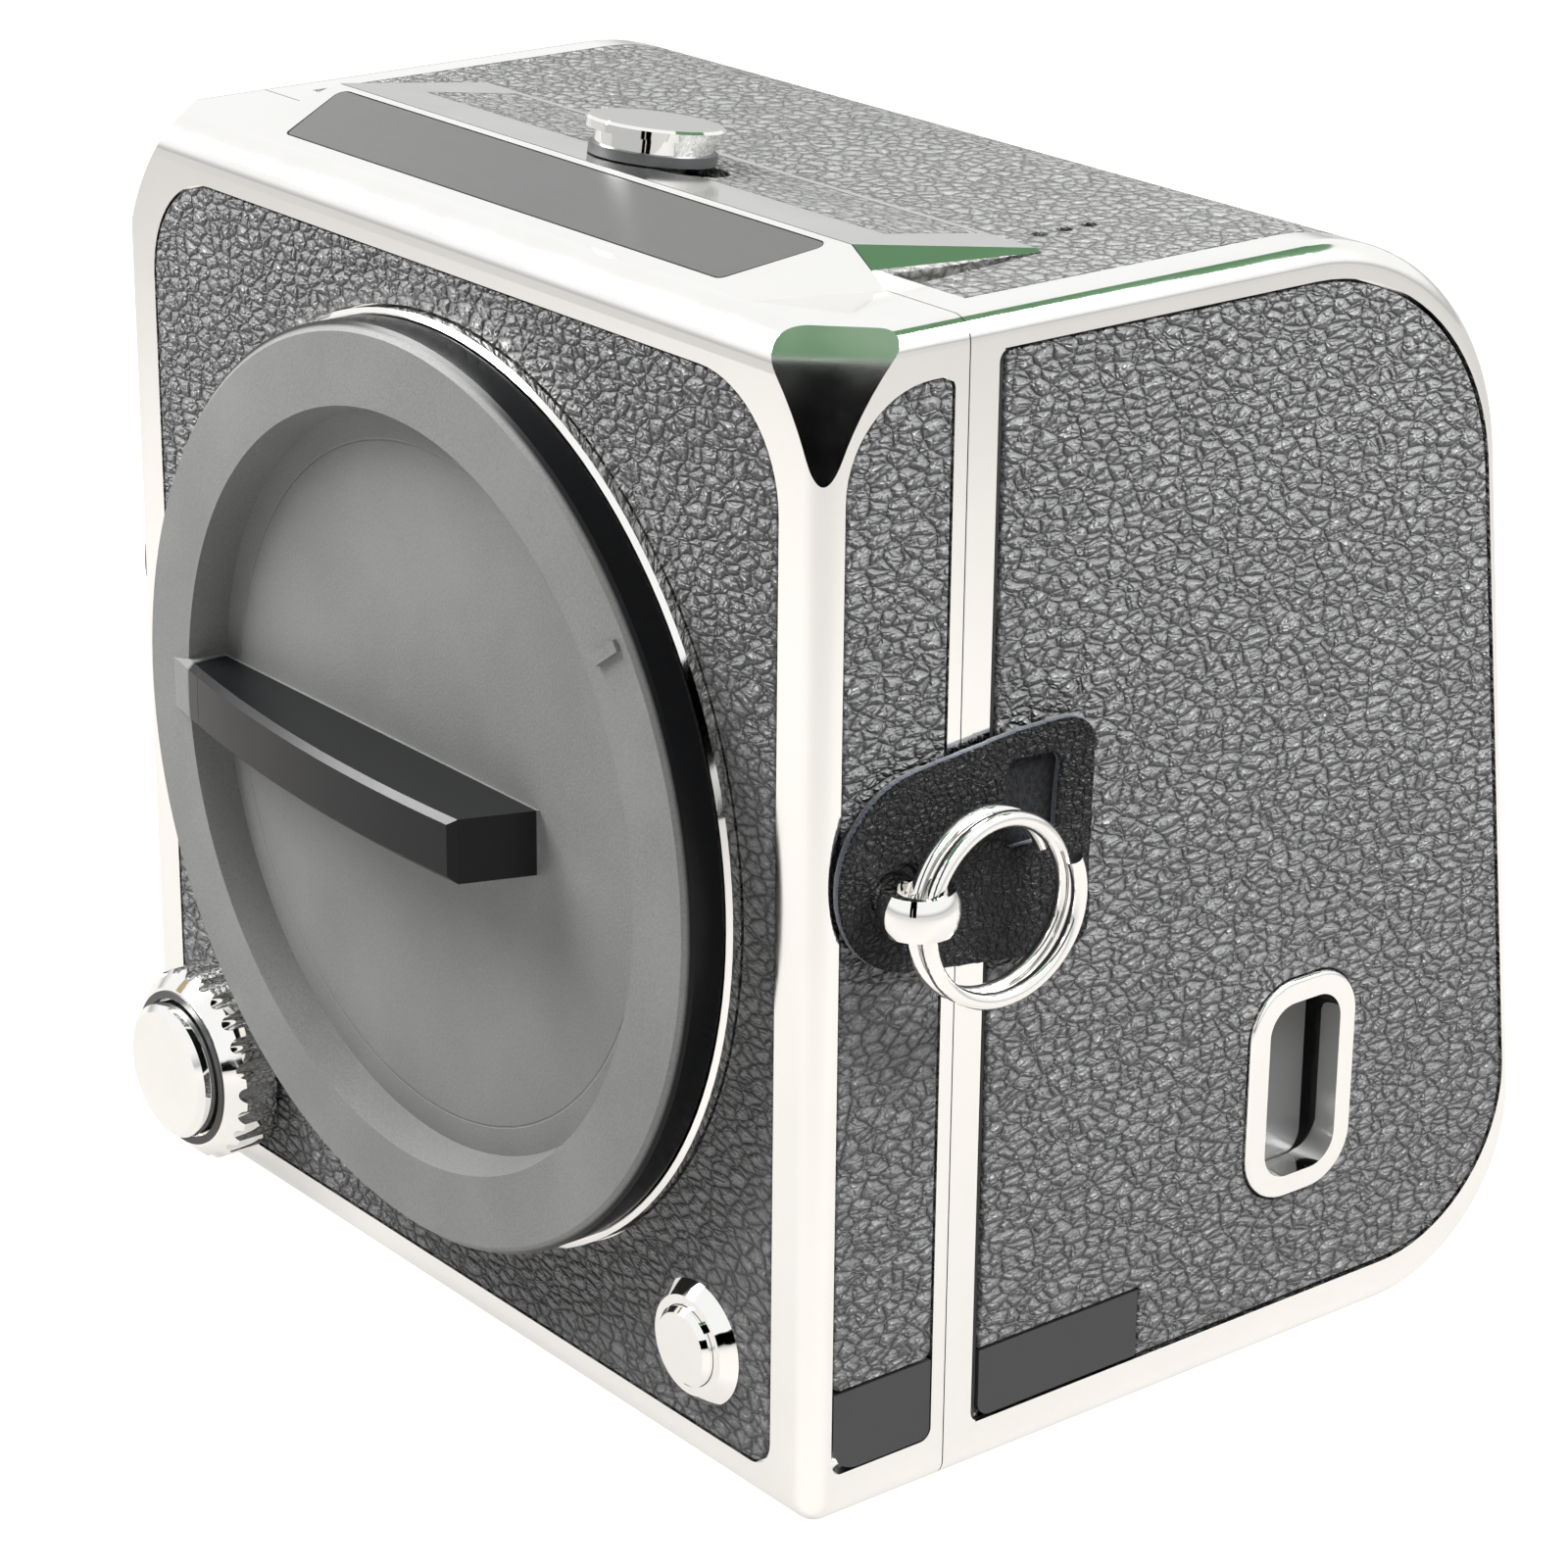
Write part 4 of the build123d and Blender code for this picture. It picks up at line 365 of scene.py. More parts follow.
@dataclass(frozen=True)
class Leather(Finish):
    """Leather: rounded pebbles, drawn out level, between bent valleys, with creases that run across them.

    The height is a dome over each random cell, the distance to its edge to a power below one, plus a share of
    smaller domes. It drops a little along creases, where slow noise crosses its middle value, and fine noise adds
    pores. The valleys are painted darker than the tops as painted shade, and are rougher. Both bends hold how far
    apart they are and how far they reach. These and the sizes of domes, creases and pores are shares of the grain.
    """

    grain: Grain = Grain.COVER
    depth_mm: float = 1.1
    shine: float = 0.36
    drawn: Triple = (0.62, 0.62, 1.0)
    # painted shade: the share of the colour left in the valleys between the pebbles
    painted_valley_shade: float = 0.3
    gloss: float = 0.5
    slow_bend: Span = (2.6, 0.75)
    quick_bend: Span = (0.7, 0.22)
    dome_edge: float = 0.34
    dome_power: float = 0.6
    small_size: float = 0.46
    small_edge: float = 0.3
    small_share: float = 0.2
    crease_size: float = 2.4
    crease_edge: float = 0.02
    crease_depth: float = 0.3
    pore_size: float = 0.14
    pore_share: float = 0.05
    valley_rougher: float = 0.25
    worn_mm: float = 9.0
    worn_rough: Span = (-0.03, 0.04)
    worn_tones: Span = (0.88, 1.0)

    def dress(self, recipe: Recipe) -> None:
        """Adds the pebbles to the height, the colour and the roughness.

        Args:
            recipe: the material in the making.
        """
        size = self.grain.value
        flow = recipe.shifted(*[size * share for share in self.slow_bend], recipe.stretched(self.drawn))
        wavy = recipe.shifted(*[size * share for share in self.quick_bend], flow)
        large = recipe.math("POWER", recipe.between(recipe.cells(size, wavy), 0.0, self.dome_edge, smooth=False),
                            self.dome_power)
        small = recipe.between(recipe.cells(size * self.small_size, flow), 0.0, self.small_edge)
        domes = recipe.math("ADD", recipe.math("MULTIPLY", large, 1 - self.small_share),
                            recipe.math("MULTIPLY", small, self.small_share))
        slow = recipe.noise(size * self.crease_size, detail=1.0, place=flow)
        off_crease = recipe.math("ABSOLUTE", recipe.math("SUBTRACT", slow, 0.5))
        creased = recipe.between(off_crease, 0.0, self.crease_edge, 1 - self.crease_depth, 1.0)
        grainy = recipe.math("MULTIPLY", domes, creased)
        pores = recipe.noise(size * self.pore_size)
        height = recipe.math("ADD", grainy, recipe.math("MULTIPLY", pores, self.pore_share))
        worn = recipe.noise(self.worn_mm)
        rough = recipe.math("ADD", recipe.between(grainy, 0.2, 0.9, self.shine + self.valley_rougher, self.shine),
                            recipe.spread(worn, *self.worn_rough))
        # painted shade in the valleys, times a slow random change of tone
        shade = recipe.math("MULTIPLY", recipe.between(grainy, 0.05, 0.75), recipe.spread(worn, *self.worn_tones))
        recipe.set(Base_Color=recipe.shades(shade, self.colour, self.painted_valley_shade, 1.0), Roughness=rough,
                   Normal=recipe.bump(height, self.depth_mm), Specular_IOR_Level=self.gloss)


@dataclass(frozen=True)
class Moulded(Finish):
    """Moulded plastic or paint: a fine, even texture with slow changes of sheen, as from a spark-worked mould."""

    rough: float = 0.4
    texture_mm: float = 0.14
    depth_mm: float = 0.004
    metal: float = 0.0
    handled_mm: float = 11.0
    handled_rough: Span = (-0.04, 0.05)
    fine_rough: Span = (-0.03, 0.03)
    tones: Span = (0.92, 1.08)

    def dress(self, recipe: Recipe) -> None:
        """Adds the mould's texture and the handled patches.

        Args:
            recipe: the material in the making.
        """
        fine = recipe.noise(self.texture_mm, detail=2.0)
        slow = recipe.noise(self.handled_mm, detail=4.0)
        handled = recipe.spread(slow, *[self.rough + change for change in self.handled_rough])
        recipe.set(Base_Color=recipe.shades(slow, self.colour, *self.tones),
                   Roughness=recipe.math("ADD", handled, recipe.spread(fine, *self.fine_rough)),
                   Normal=recipe.bump(fine, self.depth_mm), Metallic=self.metal)


@dataclass(frozen=True)
class CapPlastic(Finish):
    """The body cap's plastic: spark-textured on the disc and the rim's face, smooth and painted darker on grip and
    wall.

    It is one black plastic painted in two tones: the disc and the rim's face are painted lighter as painted sheen,
    and the grip and the outer wall darker as painted shade. The distance from the cap's axis and the depth in
    front of the disc say which part a point is on. A fine groove, left by the mould, runs round the disc. Each
    pair holds the two ends of a soft edge.
    """

    # painted shade: the colour of the grip and the outer wall, far darker than the disc's
    smooth: Colour = (0.006, 0.0063, 0.007)
    textured_rough: float = 0.46
    smooth_rough: float = 0.24
    gloss: float = 0.15
    axis_mm: float = 45.4
    front_y_mm: Span = (-8.9, -8.8)
    grip_half_mm: Span = (3.1, 3.3)
    disc_radius_mm: Span = (29.0, 29.6)
    wall_radius_mm: Span = (36.2, 36.5)
    groove_radius_mm: float = 27.2
    groove_half_mm: Span = (0.04, 0.12)
    groove_depth: float = 2.0
    texture_mm: float = 0.22
    mottle_mm: float = 13.0
    mottle_range: Span = (0.35, 0.65)
    mottle_rough: Span = (-0.03, 0.03)
    tones: Span = (0.88, 1.1)
    relief_mm: float = 0.02

    def dress(self, recipe: Recipe) -> None:
        """Adds the two textures and the mould's groove.

        Args:
            recipe: the material in the making.
        """
        centred = recipe.centred((0.0, 0.0, self.axis_mm))
        parts = recipe.node("ShaderNodeSeparateXYZ", {0: centred}).outputs
        radius = recipe.vector("LENGTH", recipe.vector("MULTIPLY", centred, (1, 0, 1)), (0, 0, 0), "Value")
        front = recipe.edge(parts[1], self.front_y_mm, 1.0, 0.0)
        level = recipe.edge(recipe.math("ABSOLUTE", parts[2]), self.grip_half_mm, 1.0, 0.0)
        inside = recipe.edge(radius, self.disc_radius_mm, 1.0, 0.0)
        grip = recipe.math("MULTIPLY", recipe.math("MULTIPLY", front, level), inside)
        # the grip and the outer wall: smoother, and painted darker as painted shade
        glossy_and_shaded = recipe.math("MAXIMUM", grip, recipe.edge(radius, self.wall_radius_mm))
        textured = recipe.math("SUBTRACT", 1.0, glossy_and_shaded)
        fine = recipe.noise(self.texture_mm, detail=2.0)
        slow = recipe.noise(self.mottle_mm)
        off_groove = recipe.math("ABSOLUTE", recipe.math("SUBTRACT", radius, self.groove_radius_mm * MM))
        groove = recipe.edge(off_groove, self.groove_half_mm, 1.0, 0.0)
        height = recipe.math("SUBTRACT", recipe.math("MULTIPLY", fine, textured),
                             recipe.math("MULTIPLY", groove, self.groove_depth))
        mottled = recipe.between(recipe.halves(fine, slow), *self.mottle_range)
        # painted sheen on the disc and the rim's face; the grip and the wall get the painted shade colour
        plain = recipe.shades(mottled, self.colour, *self.tones)
        sheen = recipe.between(glossy_and_shaded, 0.0, 1.0, self.textured_rough, self.smooth_rough, smooth=False)
        recipe.set(Base_Color=recipe.tint(glossy_and_shaded, plain, self.smooth),
                   Roughness=recipe.math("ADD", sheen, recipe.spread(slow, *self.mottle_rough)),
                   Normal=recipe.bump(height, self.relief_mm), Specular_IOR_Level=self.gloss)


@dataclass(frozen=True)
class Anodised(Finish):
    """Anodised sheet metal: a dark skin over brushed metal, with the brushing along X."""

    rough: float = 0.32
    brushed_mm: float = 0.16
    brushed_along: Triple = (0.03, 1.0, 1.0)
    fine_mm: float = 0.09
    fine_range: Span = (0.2, 0.8)
    fine_rough: Span = (-0.05, 0.07)
    slow_mm: float = 14.0
    tones: Span = (0.85, 1.15)
    metal: float = 0.75
    relief_mm: float = 0.0015

    def dress(self, recipe: Recipe) -> None:
        """Adds the brushing and a slow change of tone.

        Args:
            recipe: the material in the making.
        """
        brushed = recipe.noise(self.brushed_mm, detail=4.0, place=recipe.stretched(self.brushed_along))
        fine = recipe.noise(self.fine_mm, detail=2.0)
        shade = recipe.halves(brushed, recipe.noise(self.slow_mm))
        rough = [self.rough + change for change in self.fine_rough]
        recipe.set(Base_Color=recipe.shades(shade, self.colour, *self.tones), Metallic=self.metal,
                   Roughness=recipe.between(fine, *self.fine_range, *rough),
                   Normal=recipe.bump(recipe.math("ADD", brushed, fine), self.relief_mm))


@dataclass(frozen=True)
class Board(Finish):
    """A circuit board: solder mask over copper tracks, with rows of small bright pads."""

    pad: Colour = (0.75, 0.62, 0.36)
    cell_mm: float = 2.2
    uneven: float = 0.6
    track_edge: Span = (0.28, 0.34)
    track_lighter: float = 2.2
    pad_edge: Span = (0.10, 0.12)
    mask_mm: float = 0.4
    mask_rough: Span = (0.22, 0.36)
    relief_mm: float = 0.03

    def dress(self, recipe: Recipe) -> None:
        """Adds the tracks as the edges of square cells and the pads as their middles.

        Args:
            recipe: the material in the making.
        """
        cell = recipe.node("ShaderNodeTexVoronoi", {"Vector": recipe.place, "Scale": 1 / (self.cell_mm * MM),
                                                    "Randomness": self.uneven}, feature="F1",
                           distance="CHEBYCHEV").outputs["Distance"]
        lines = recipe.between(cell, *self.track_edge)
        pads = recipe.between(cell, *self.pad_edge, 1.0, 0.0)
        mask = recipe.shades(lines, self.colour, 1.0, self.track_lighter)
        recipe.set(Base_Color=recipe.tint(pads, mask, self.pad), Metallic=pads,
                   Roughness=recipe.spread(recipe.noise(self.mask_mm), *self.mask_rough),
                   Normal=recipe.bump(lines, self.relief_mm))


@dataclass(frozen=True)
class Sensor(Finish):
    """A sensor's face: dark, mirror-like, with a violet to green tinge that drifts over it in fine rows."""

    tinge: Colour = (0.02, 0.07, 0.06)
    drift_mm: float = 28.0
    row_mm: float = 0.05
    row_along: Triple = (1.0, 1.0, 0.2)
    row_rough: Span = (0.08, 0.16)
    metal: float = 0.4
    coat_rough: float = 0.03
    relief_mm: float = 0.0004

    def dress(self, recipe: Recipe) -> None:
        """Adds the tinge and the rows of cells.

        Args:
            recipe: the material in the making.
        """
        drift = recipe.noise(self.drift_mm, detail=1.0)
        rows = recipe.noise(self.row_mm, detail=0.0, place=recipe.stretched(self.row_along))
        recipe.set(Base_Color=recipe.tint(drift, self.colour, self.tinge), Metallic=self.metal,
                   Roughness=recipe.spread(rows, *self.row_rough), Coat_Weight=1.0,
                   Coat_Roughness=self.coat_rough, Normal=recipe.bump(rows, self.relief_mm))


@dataclass(frozen=True)
class Glass(Finish):
    """Glass over something dark, or clear glass: smooth, with a breath of dust in its roughness."""

    clear: float = 0.0
    bending: float = 1.5
    wiped_mm: float = 7.0
    wiped_along: Triple = (1.0, 1.0, 0.3)
    wiped_turn: Triple = (0, 0.5, 0)
    wiped_range: Span = (0.35, 0.75)
    wiped_rough: Span = (0.02, 0.07)
    tones: Span = (0.95, 1.0)
    relief_mm: float = 0.0004

    def dress(self, recipe: Recipe) -> None:
        """Adds the dust and the wipe marks.

        Args:
            recipe: the material in the making.
        """
        wiped = recipe.noise(self.wiped_mm, 5.0, recipe.stretched(self.wiped_along, self.wiped_turn))
        recipe.set(Base_Color=recipe.shades(wiped, self.colour, *self.tones),
                   Roughness=recipe.between(wiped, *self.wiped_range, *self.wiped_rough),
                   Transmission_Weight=self.clear, IOR=self.bending, Normal=recipe.bump(wiped, self.relief_mm))


@dataclass(frozen=True)
class RawLeather(Finish):
    """The raw cut edge or back of dyed leather: matt fibres, paler and bluer where the knife opened them."""

    fibre_mm: float = 0.12
    along: Triple = (0.35, 1.0, 1.0)
    fibre_range: Span = (0.35, 0.65)
    fibre_rough: Span = (0.95, 0.75)
    depth_mm: float = 0.08
    shadow: float = 0.35
    fuzz: float = 0.3
    gloss: float = 0.5

    def dress(self, recipe: Recipe) -> None:
        """Adds the fibres.

        Args:
            recipe: the material in the making.
        """
        fibres = recipe.noise(self.fibre_mm, detail=5.0, place=recipe.stretched(self.along), blur=0.7)
        shade = recipe.between(fibres, *self.fibre_range)
        recipe.set(Base_Color=recipe.shades(shade, self.colour, self.shadow, 1.0),
                   Roughness=recipe.spread(fibres, *self.fibre_rough), Normal=recipe.bump(fibres, self.depth_mm),
                   Sheen_Weight=self.fuzz, Specular_IOR_Level=self.gloss)


@dataclass(frozen=True)
class Cloth(Finish):
    """The floor's pale cloth: darker in mirrors than as a surface, and glowing to the eye and in mirrors."""

    light: Colour = (0.66, 0.66, 0.66)
    mirrored: tuple[Colour, Colour] = ((0.13, 0.122, 0.115), (0.15, 0.14, 0.13))
    glow: Colour = (1.0, 0.985, 0.965)
    glow_in_mirrors: float = 0.64
    glow_seen: float = 0.82
    weave_mm: float = 0.8
    weave_deep_mm: float = 0.05
    rough: float = 0.9
    gloss: float = 0.1

    def dress(self, recipe: Recipe) -> None:
        """Adds the weave, the two tones and the glow.

        Args:
            recipe: the material in the making.
        """
        weave = recipe.noise(self.weave_mm)
        rays = recipe.rays()
        tone = recipe.tint(rays["Is Glossy Ray"], recipe.tint(weave, self.colour, self.light),
                           recipe.tint(weave, *self.mirrored))
        by_mirror = recipe.math("MAXIMUM", rays["Is Glossy Ray"], rays["Is Transmission Ray"])
        glow = recipe.math("MAXIMUM", recipe.math("MULTIPLY", by_mirror, self.glow_in_mirrors),
                           recipe.math("MULTIPLY", rays["Is Camera Ray"], self.glow_seen))
        recipe.set(Base_Color=tone, Roughness=self.rough, Specular_IOR_Level=self.gloss,
                   Normal=recipe.bump(weave, self.weave_deep_mm), Emission_Color=(*self.glow, 1),
                   Emission_Strength=glow)


@dataclass(frozen=True)
class Paper(Finish):
    """A card's face: one dull colour."""

    def dress(self, recipe: Recipe) -> None:
        """Sets the colour, without any shine."""
        recipe.set(Base_Color=(*self.colour, 1), Roughness=1.0, Specular_IOR_Level=0.0)


CHROME = (0.93, 0.925, 0.905)
# painted light: the top and the strip are the covering's black leather, painted paler because they face the light
TOP_LIT_GRAIN = (0.20, 0.204, 0.197)
LONG_GRAIN = (0.8, 0.8, 1.0)

SATIN_CHROME = Plating("satin_chrome_plating", CHROME, polish=0.07, cloud=0.04, hairline_deep_mm=0.0006)
BACK_CHROME = BackPlating("satin_chrome_of_the_back", CHROME, polish=0.07, cloud=0.04, hairline_deep_mm=0.0006)
BRIGHT_CHROME = Plating("bright_chrome_plating", CHROME, polish=0.03, cloud=0.02, hairline_deep_mm=0.0002)
STEEL = Plating("polished_steel", (0.74, 0.745, 0.74), polish=0.08, cloud=0.05)
SPRING_WIRE = Plating("spring_wire", (0.60, 0.60, 0.62), polish=0.15, cloud=0.06)
CONTACTS = Plating("gilt_contacts", (0.83, 0.66, 0.33), polish=0.12, cloud=0.06)
COVERING = Leather("pebbled_covering", (0.146, 0.148, 0.149))
TOP_COVERING = Leather("pebbled_top_covering", TOP_LIT_GRAIN, drawn=LONG_GRAIN)
STRIP_COVERING = Leather("pebbled_strip", TOP_LIT_GRAIN, drawn=LONG_GRAIN)
STRAP_LEATHER = Leather("strap_leather", (0.008, 0.0083, 0.0095), grain=Grain.STRAP, depth_mm=0.4, shine=0.25,
                        drawn=LONG_GRAIN, gloss=0.18)
CUT_LEATHER = RawLeather("cut_leather_edge", (0.045, 0.055, 0.08))
# the lining's dark colour is partly the leather's own and partly painted shade in the tab's slot
LEATHER_BACK = RawLeather("rough_leather_back", (0.014, 0.0145, 0.017), fibre_mm=0.5, depth_mm=0.5, fuzz=0.02,
                          gloss=0.12)
NAMEPLATE = Anodised("dark_anodised_plate", (0.12, 0.123, 0.119))
SIDE_PLATE = Anodised("black_side_plate", (0.058, 0.059, 0.061), rough=0.38)
# painted sheen: the disc's colour, much lighter than the black plastic itself
CAP_PLASTIC = CapPlastic("cap_plastic", (0.155, 0.157, 0.152))
BLACK_PLASTIC = Moulded("black_plastic", (0.03, 0.031, 0.032), rough=0.45)
KEY_PLASTIC = Moulded("key_plastic", (0.02, 0.02, 0.021), rough=0.3, texture_mm=0.3)
SLIDER_PLASTIC = Moulded("slider_plastic", (0.06, 0.061, 0.061), rough=0.38)
BLACK_PAINT = Moulded("black_paint", (0.018, 0.018, 0.019), rough=0.6, texture_mm=0.08, depth_mm=0.008)
BARE_ALUMINIUM = Moulded("milled_aluminium", (0.72, 0.72, 0.73), rough=0.33, texture_mm=0.2, metal=1.0)
BATTERY_SHELL = Moulded("battery_shell", (0.05, 0.05, 0.055), rough=0.35)
CARD_SHELL = Moulded("card_shell", (0.06, 0.065, 0.08), rough=0.4)
BOARD = Board("circuit_board", (0.01, 0.075, 0.035))
SENSOR = Sensor("sensor_face", (0.03, 0.02, 0.05))
CLEAR_GLASS = Glass("coated_clear_glass", (0.92, 0.96, 0.96), clear=1.0)
SCREEN_GLASS = Glass("dark_screen_glass", (0.008, 0.008, 0.01))
FLOOR_CLOTH = Cloth("pale_floor", (0.60, 0.60, 0.60))

NODE_FINISHES: dict[Finish, tuple[str, ...]] = {
    SATIN_CHROME: ("front_housing", "back_front_plate"),
    BACK_CHROME: ("back_housing",),
    BRIGHT_CHROME: ("lens_mount_ring", "control_dial", "back_catch_knob", "lens_release_bezel", "door_catch_bezel",
                    "shutter_button", "dial_sleeve", "strap_lug_right", "strap_lug_left", "strap_ring_right",
                    "strap_ring_left", "lens_release_button"),
    STEEL: ("lens_mount_screws", "lens_lock_pin", "hinge_pins", "tripod_bush"),
    COVERING: ("front_leather", "front_side_leather_right", "front_side_leather_left", "back_side_leather_left",
               "door_leather"),
    TOP_COVERING: ("top_leather",),
    STRIP_COVERING: ("strip_leather",),
    NAMEPLATE: ("top_nameplate",),
    SIDE_PLATE: ("front_side_plate", "back_side_plate"),
    CAP_PLASTIC: ("body_cap",),
    BLACK_PLASTIC: ("dial_ring_insert", "back_catch_disc", "dial_encoder", "shutter_switch", "battery_bay",
                    "port_cover", "port_block", "screen_frame"),
    KEY_PLASTIC: tuple(f"rear_button_{place}" for place in range(1, 6)),
    SLIDER_PLASTIC: ("door_catch",),
    BLACK_PAINT: ("light_chamber", "front_rear_frame", "battery_door", "sensor_holder"),
    SPRING_WIRE: ("lens_release_spring", "shutter_spring"),
    BARE_ALUMINIUM: ("heat_spreader",),
    BATTERY_SHELL: ("battery",),
    CARD_SHELL: ("memory_cards",),
    BOARD: ("main_circuit_board",),
    SENSOR: ("image_sensor",),
    CLEAR_GLASS: ("sensor_glass",),
    SCREEN_GLASS: ("screen_glass",),
    CONTACTS: ("lens_contact_block",),
}


@dataclass
class Workshop:
    """Keeps each finish's material, so that it is made once, and makes pieces."""

    made: dict[Finish, bpy.types.Material] = field(default_factory=dict)

    def material(self, finish: Finish) -> bpy.types.Material:
        """Makes a finish's material, or finds it.

        Args:
            finish: the finish.

        Returns:
            Its material.
        """
        if finish not in self.made:
            self.made[finish] = finish.make()
        return self.made[finish]

    def dress_nodes(self) -> None:
        """Gives every node of the frame the material of its finish."""
        for finish, nodes in NODE_FINISHES.items():
            for node in nodes:
                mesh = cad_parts[node].data
                mesh.materials.clear()
                mesh.materials.append(self.material(finish))
                LOG.info("dressed %s in %s", node, finish.name)

    def piece(self, name: str, points: np.ndarray, faces: np.ndarray, finishes: list[Finish]) -> bpy.types.Object:
        """Makes a smooth-shaded object at the origin from whole arrays.

        Args:
            name: the piece's name.
            points: one row of three coordinates a point.
            faces: one row of point numbers a face.
            finishes: the piece's materials in order.

        Returns:
            The object, linked to the scene.
        """
        mesh = bpy.data.meshes.new(name)
        mesh.from_pydata(points.tolist(), [], faces.tolist())
        for finish in finishes:
            mesh.materials.append(self.material(finish))
        mesh.polygons.foreach_set("use_smooth", np.ones(len(mesh.polygons), bool))
        mesh.update()
        made = bpy.data.objects.new(name, mesh)
        bpy.context.scene.collection.objects.link(made)
        LOG.info("made %s: %d points", name, len(points))
        return made


@dataclass
class StrapTab:
    """The leather tab under a strap ring: a wide nose round the lug, and a slotted tail whose corner curls out.

    Its outline is the hull of three circles less the lug's hole and the slot. A point's distance to the hull is
    the largest, over all directions, of how far it lies that way past the farthest circle. Lengths here are in
    millimetres: depths behind the front face, heights, and radii.
    """

    side: Side
    inner_x: float = 45.8
    thickness: float = 0.8
    lining_thickness: float = 0.12
    lining_out: float = 0.07
    lining_under: float = 0.9
    lining_inset: float = 0.5
    step: float = 0.26
    margin: float = 1.0
    nudge: float = 1e-3
    directions: int = 180
    circles: tuple[Triple, ...] = ((8.7, 51.0, 7.6), (21.5, 57.2, 2.8), (22.8, 43.4, 2.2))
    hole: Triple = (6.7, 49.3, 2.6)
    slot: Span = (18.9, 54.0)
    slot_half: Span = (2.4, 3.3)
    slot_round: float = 1.0
    curl: float = 0.45
    curl_start: Span = (17.5, 54.5)
    curl_reach: float = 5.0
    curl_most: float = 1.5
    wave: float = 0.06
    wave_turn: Span = (0.8, 0.6)
    wave_start: float = 1.0
    wave_reach: float = 6.0

    def hull(self, depth: np.ndarray, height: np.ndarray, shrink: float = 0.0) -> np.ndarray:
        """Signed distance to the hull of the circles, all of them smaller by the same amount.

        Args:
            depth: depths of the points.
            height: heights of the points.
            shrink: how much smaller the circles are.

        Returns:
            The distances, below nought inside.
        """
        turn = np.linspace(0, 2 * np.pi, self.directions, endpoint=False)
        along, up = np.cos(turn), np.sin(turn)
        reach = np.max([d * along + h * up + radius for d, h, radius in self.circles], axis=0)
        return (depth[..., None] * along + height[..., None] * up - reach).max(-1) + shrink

    def window(self, depth: np.ndarray, height: np.ndarray) -> np.ndarray:
        """Signed distance to the rounded slot: the distance to a smaller box less the corners' radius.

        Args:
            depth: depths of the points.
            height: heights of the points.

        Returns:
            The distances, below nought in the slot.
        """
        off_d = np.abs(depth - self.slot[0]) - self.slot_half[0] + self.slot_round
        off_h = np.abs(height - self.slot[1]) - self.slot_half[1] + self.slot_round
        outside = np.hypot(np.maximum(off_d, 0), np.maximum(off_h, 0))
        return outside + np.minimum(np.maximum(off_d, off_h), 0) - self.slot_round

    def distance(self, depth: np.ndarray, height: np.ndarray) -> np.ndarray:
        """Signed distance to the tab's outline.

        Args:
            depth: depths of the points.
            height: heights of the points.

        Returns:
            The distances, below nought inside the leather.
        """
        hole = self.hole[2] - np.hypot(depth - self.hole[0], height - self.hole[1])
        return np.maximum(np.maximum(self.hull(depth, height), hole), -self.window(depth, height))

    def lining_distance(self, depth: np.ndarray, height: np.ndarray) -> np.ndarray:
        """Signed distance to the second layer, which fills the slot and runs a little under its edges."""
        return np.maximum(self.window(depth, height) - self.lining_under,
                          self.hull(depth, height, self.lining_inset))

    def lift(self, depth: np.ndarray, height: np.ndarray) -> np.ndarray:
        """How far the leather stands out: slight waves, and the curled corner's square law.

        Args:
            depth: depths of the points.
            height: heights of the points.

        Returns:
            The lifts.
        """
        across = np.array([self.circles[1][0] - self.curl_start[0], self.circles[1][1] - self.curl_start[1]])
        across = across / np.hypot(*across)
        past = (depth - self.curl_start[0]) * across[0] + (height - self.curl_start[1]) * across[1]
        bend = np.clip(past / self.curl_reach, 0, self.curl_most)
        wave = (self.wave * np.sin(depth * self.wave_turn[0])
                * np.sin(height * self.wave_turn[1] + self.wave_start))
        return self.curl * bend ** 2 + wave * np.clip((depth - self.circles[0][0]) / self.wave_reach, 0, 1)

    def grid(self) -> tuple[np.ndarray, np.ndarray]:
        """Lays a square grid over the circles, with a margin all round.

        Returns:
            The depths and the heights of its points.
        """
        spots = np.array(self.circles)
        low = (spots[:, :2] - spots[:, 2:]).min(0) - self.margin
        high = (spots[:, :2] + spots[:, 2:]).max(0) + self.margin
        count = np.ceil((high - low) / self.step).astype(int)
        depth, height = np.meshgrid(low[0] + self.step * np.arange(count[0] + 1),
                                    low[1] + self.step * np.arange(count[1] + 1), indexing="ij")
        return depth, height

    def cut(self, rule: Rule) -> tuple[np.ndarray, np.ndarray, np.ndarray]:
        """Cuts the grid to an outline and pulls its rim on to it.

        A rim point moves by its distance to the outline, against the slope of that distance. A rim edge is one
        that only one face has.

        Args:
            rule: signed distance to the outline.

        Returns:
            The depths and heights of all the grid's points, and the corners of the faces that are kept.
        """
        depth, height = self.grid()
        away = rule(depth, height)
        slope_d = (rule(depth + self.nudge, height) - away) / self.nudge
        slope_h = (rule(depth, height + self.nudge) - away) / self.nudge
        number = np.arange(depth.size).reshape(depth.shape)
        corners = np.stack([number[:-1, :-1], number[1:, :-1], number[1:, 1:], number[:-1, 1:]], -1).reshape(-1, 4)
        kept = corners[(away.reshape(-1)[corners] < self.step / 2).all(1)]
        edges = np.sort(np.concatenate([kept[:, [start, (start + 1) % 4]] for start in range(4)]), axis=1)
        single, times = np.unique(edges, axis=0, return_counts=True)
        rim = np.zeros(depth.size, bool)
        rim[single[times == 1].reshape(-1)] = True
        pull = np.where(rim.reshape(depth.shape), away, 0)
        return depth - pull * slope_d, height - pull * slope_h, kept

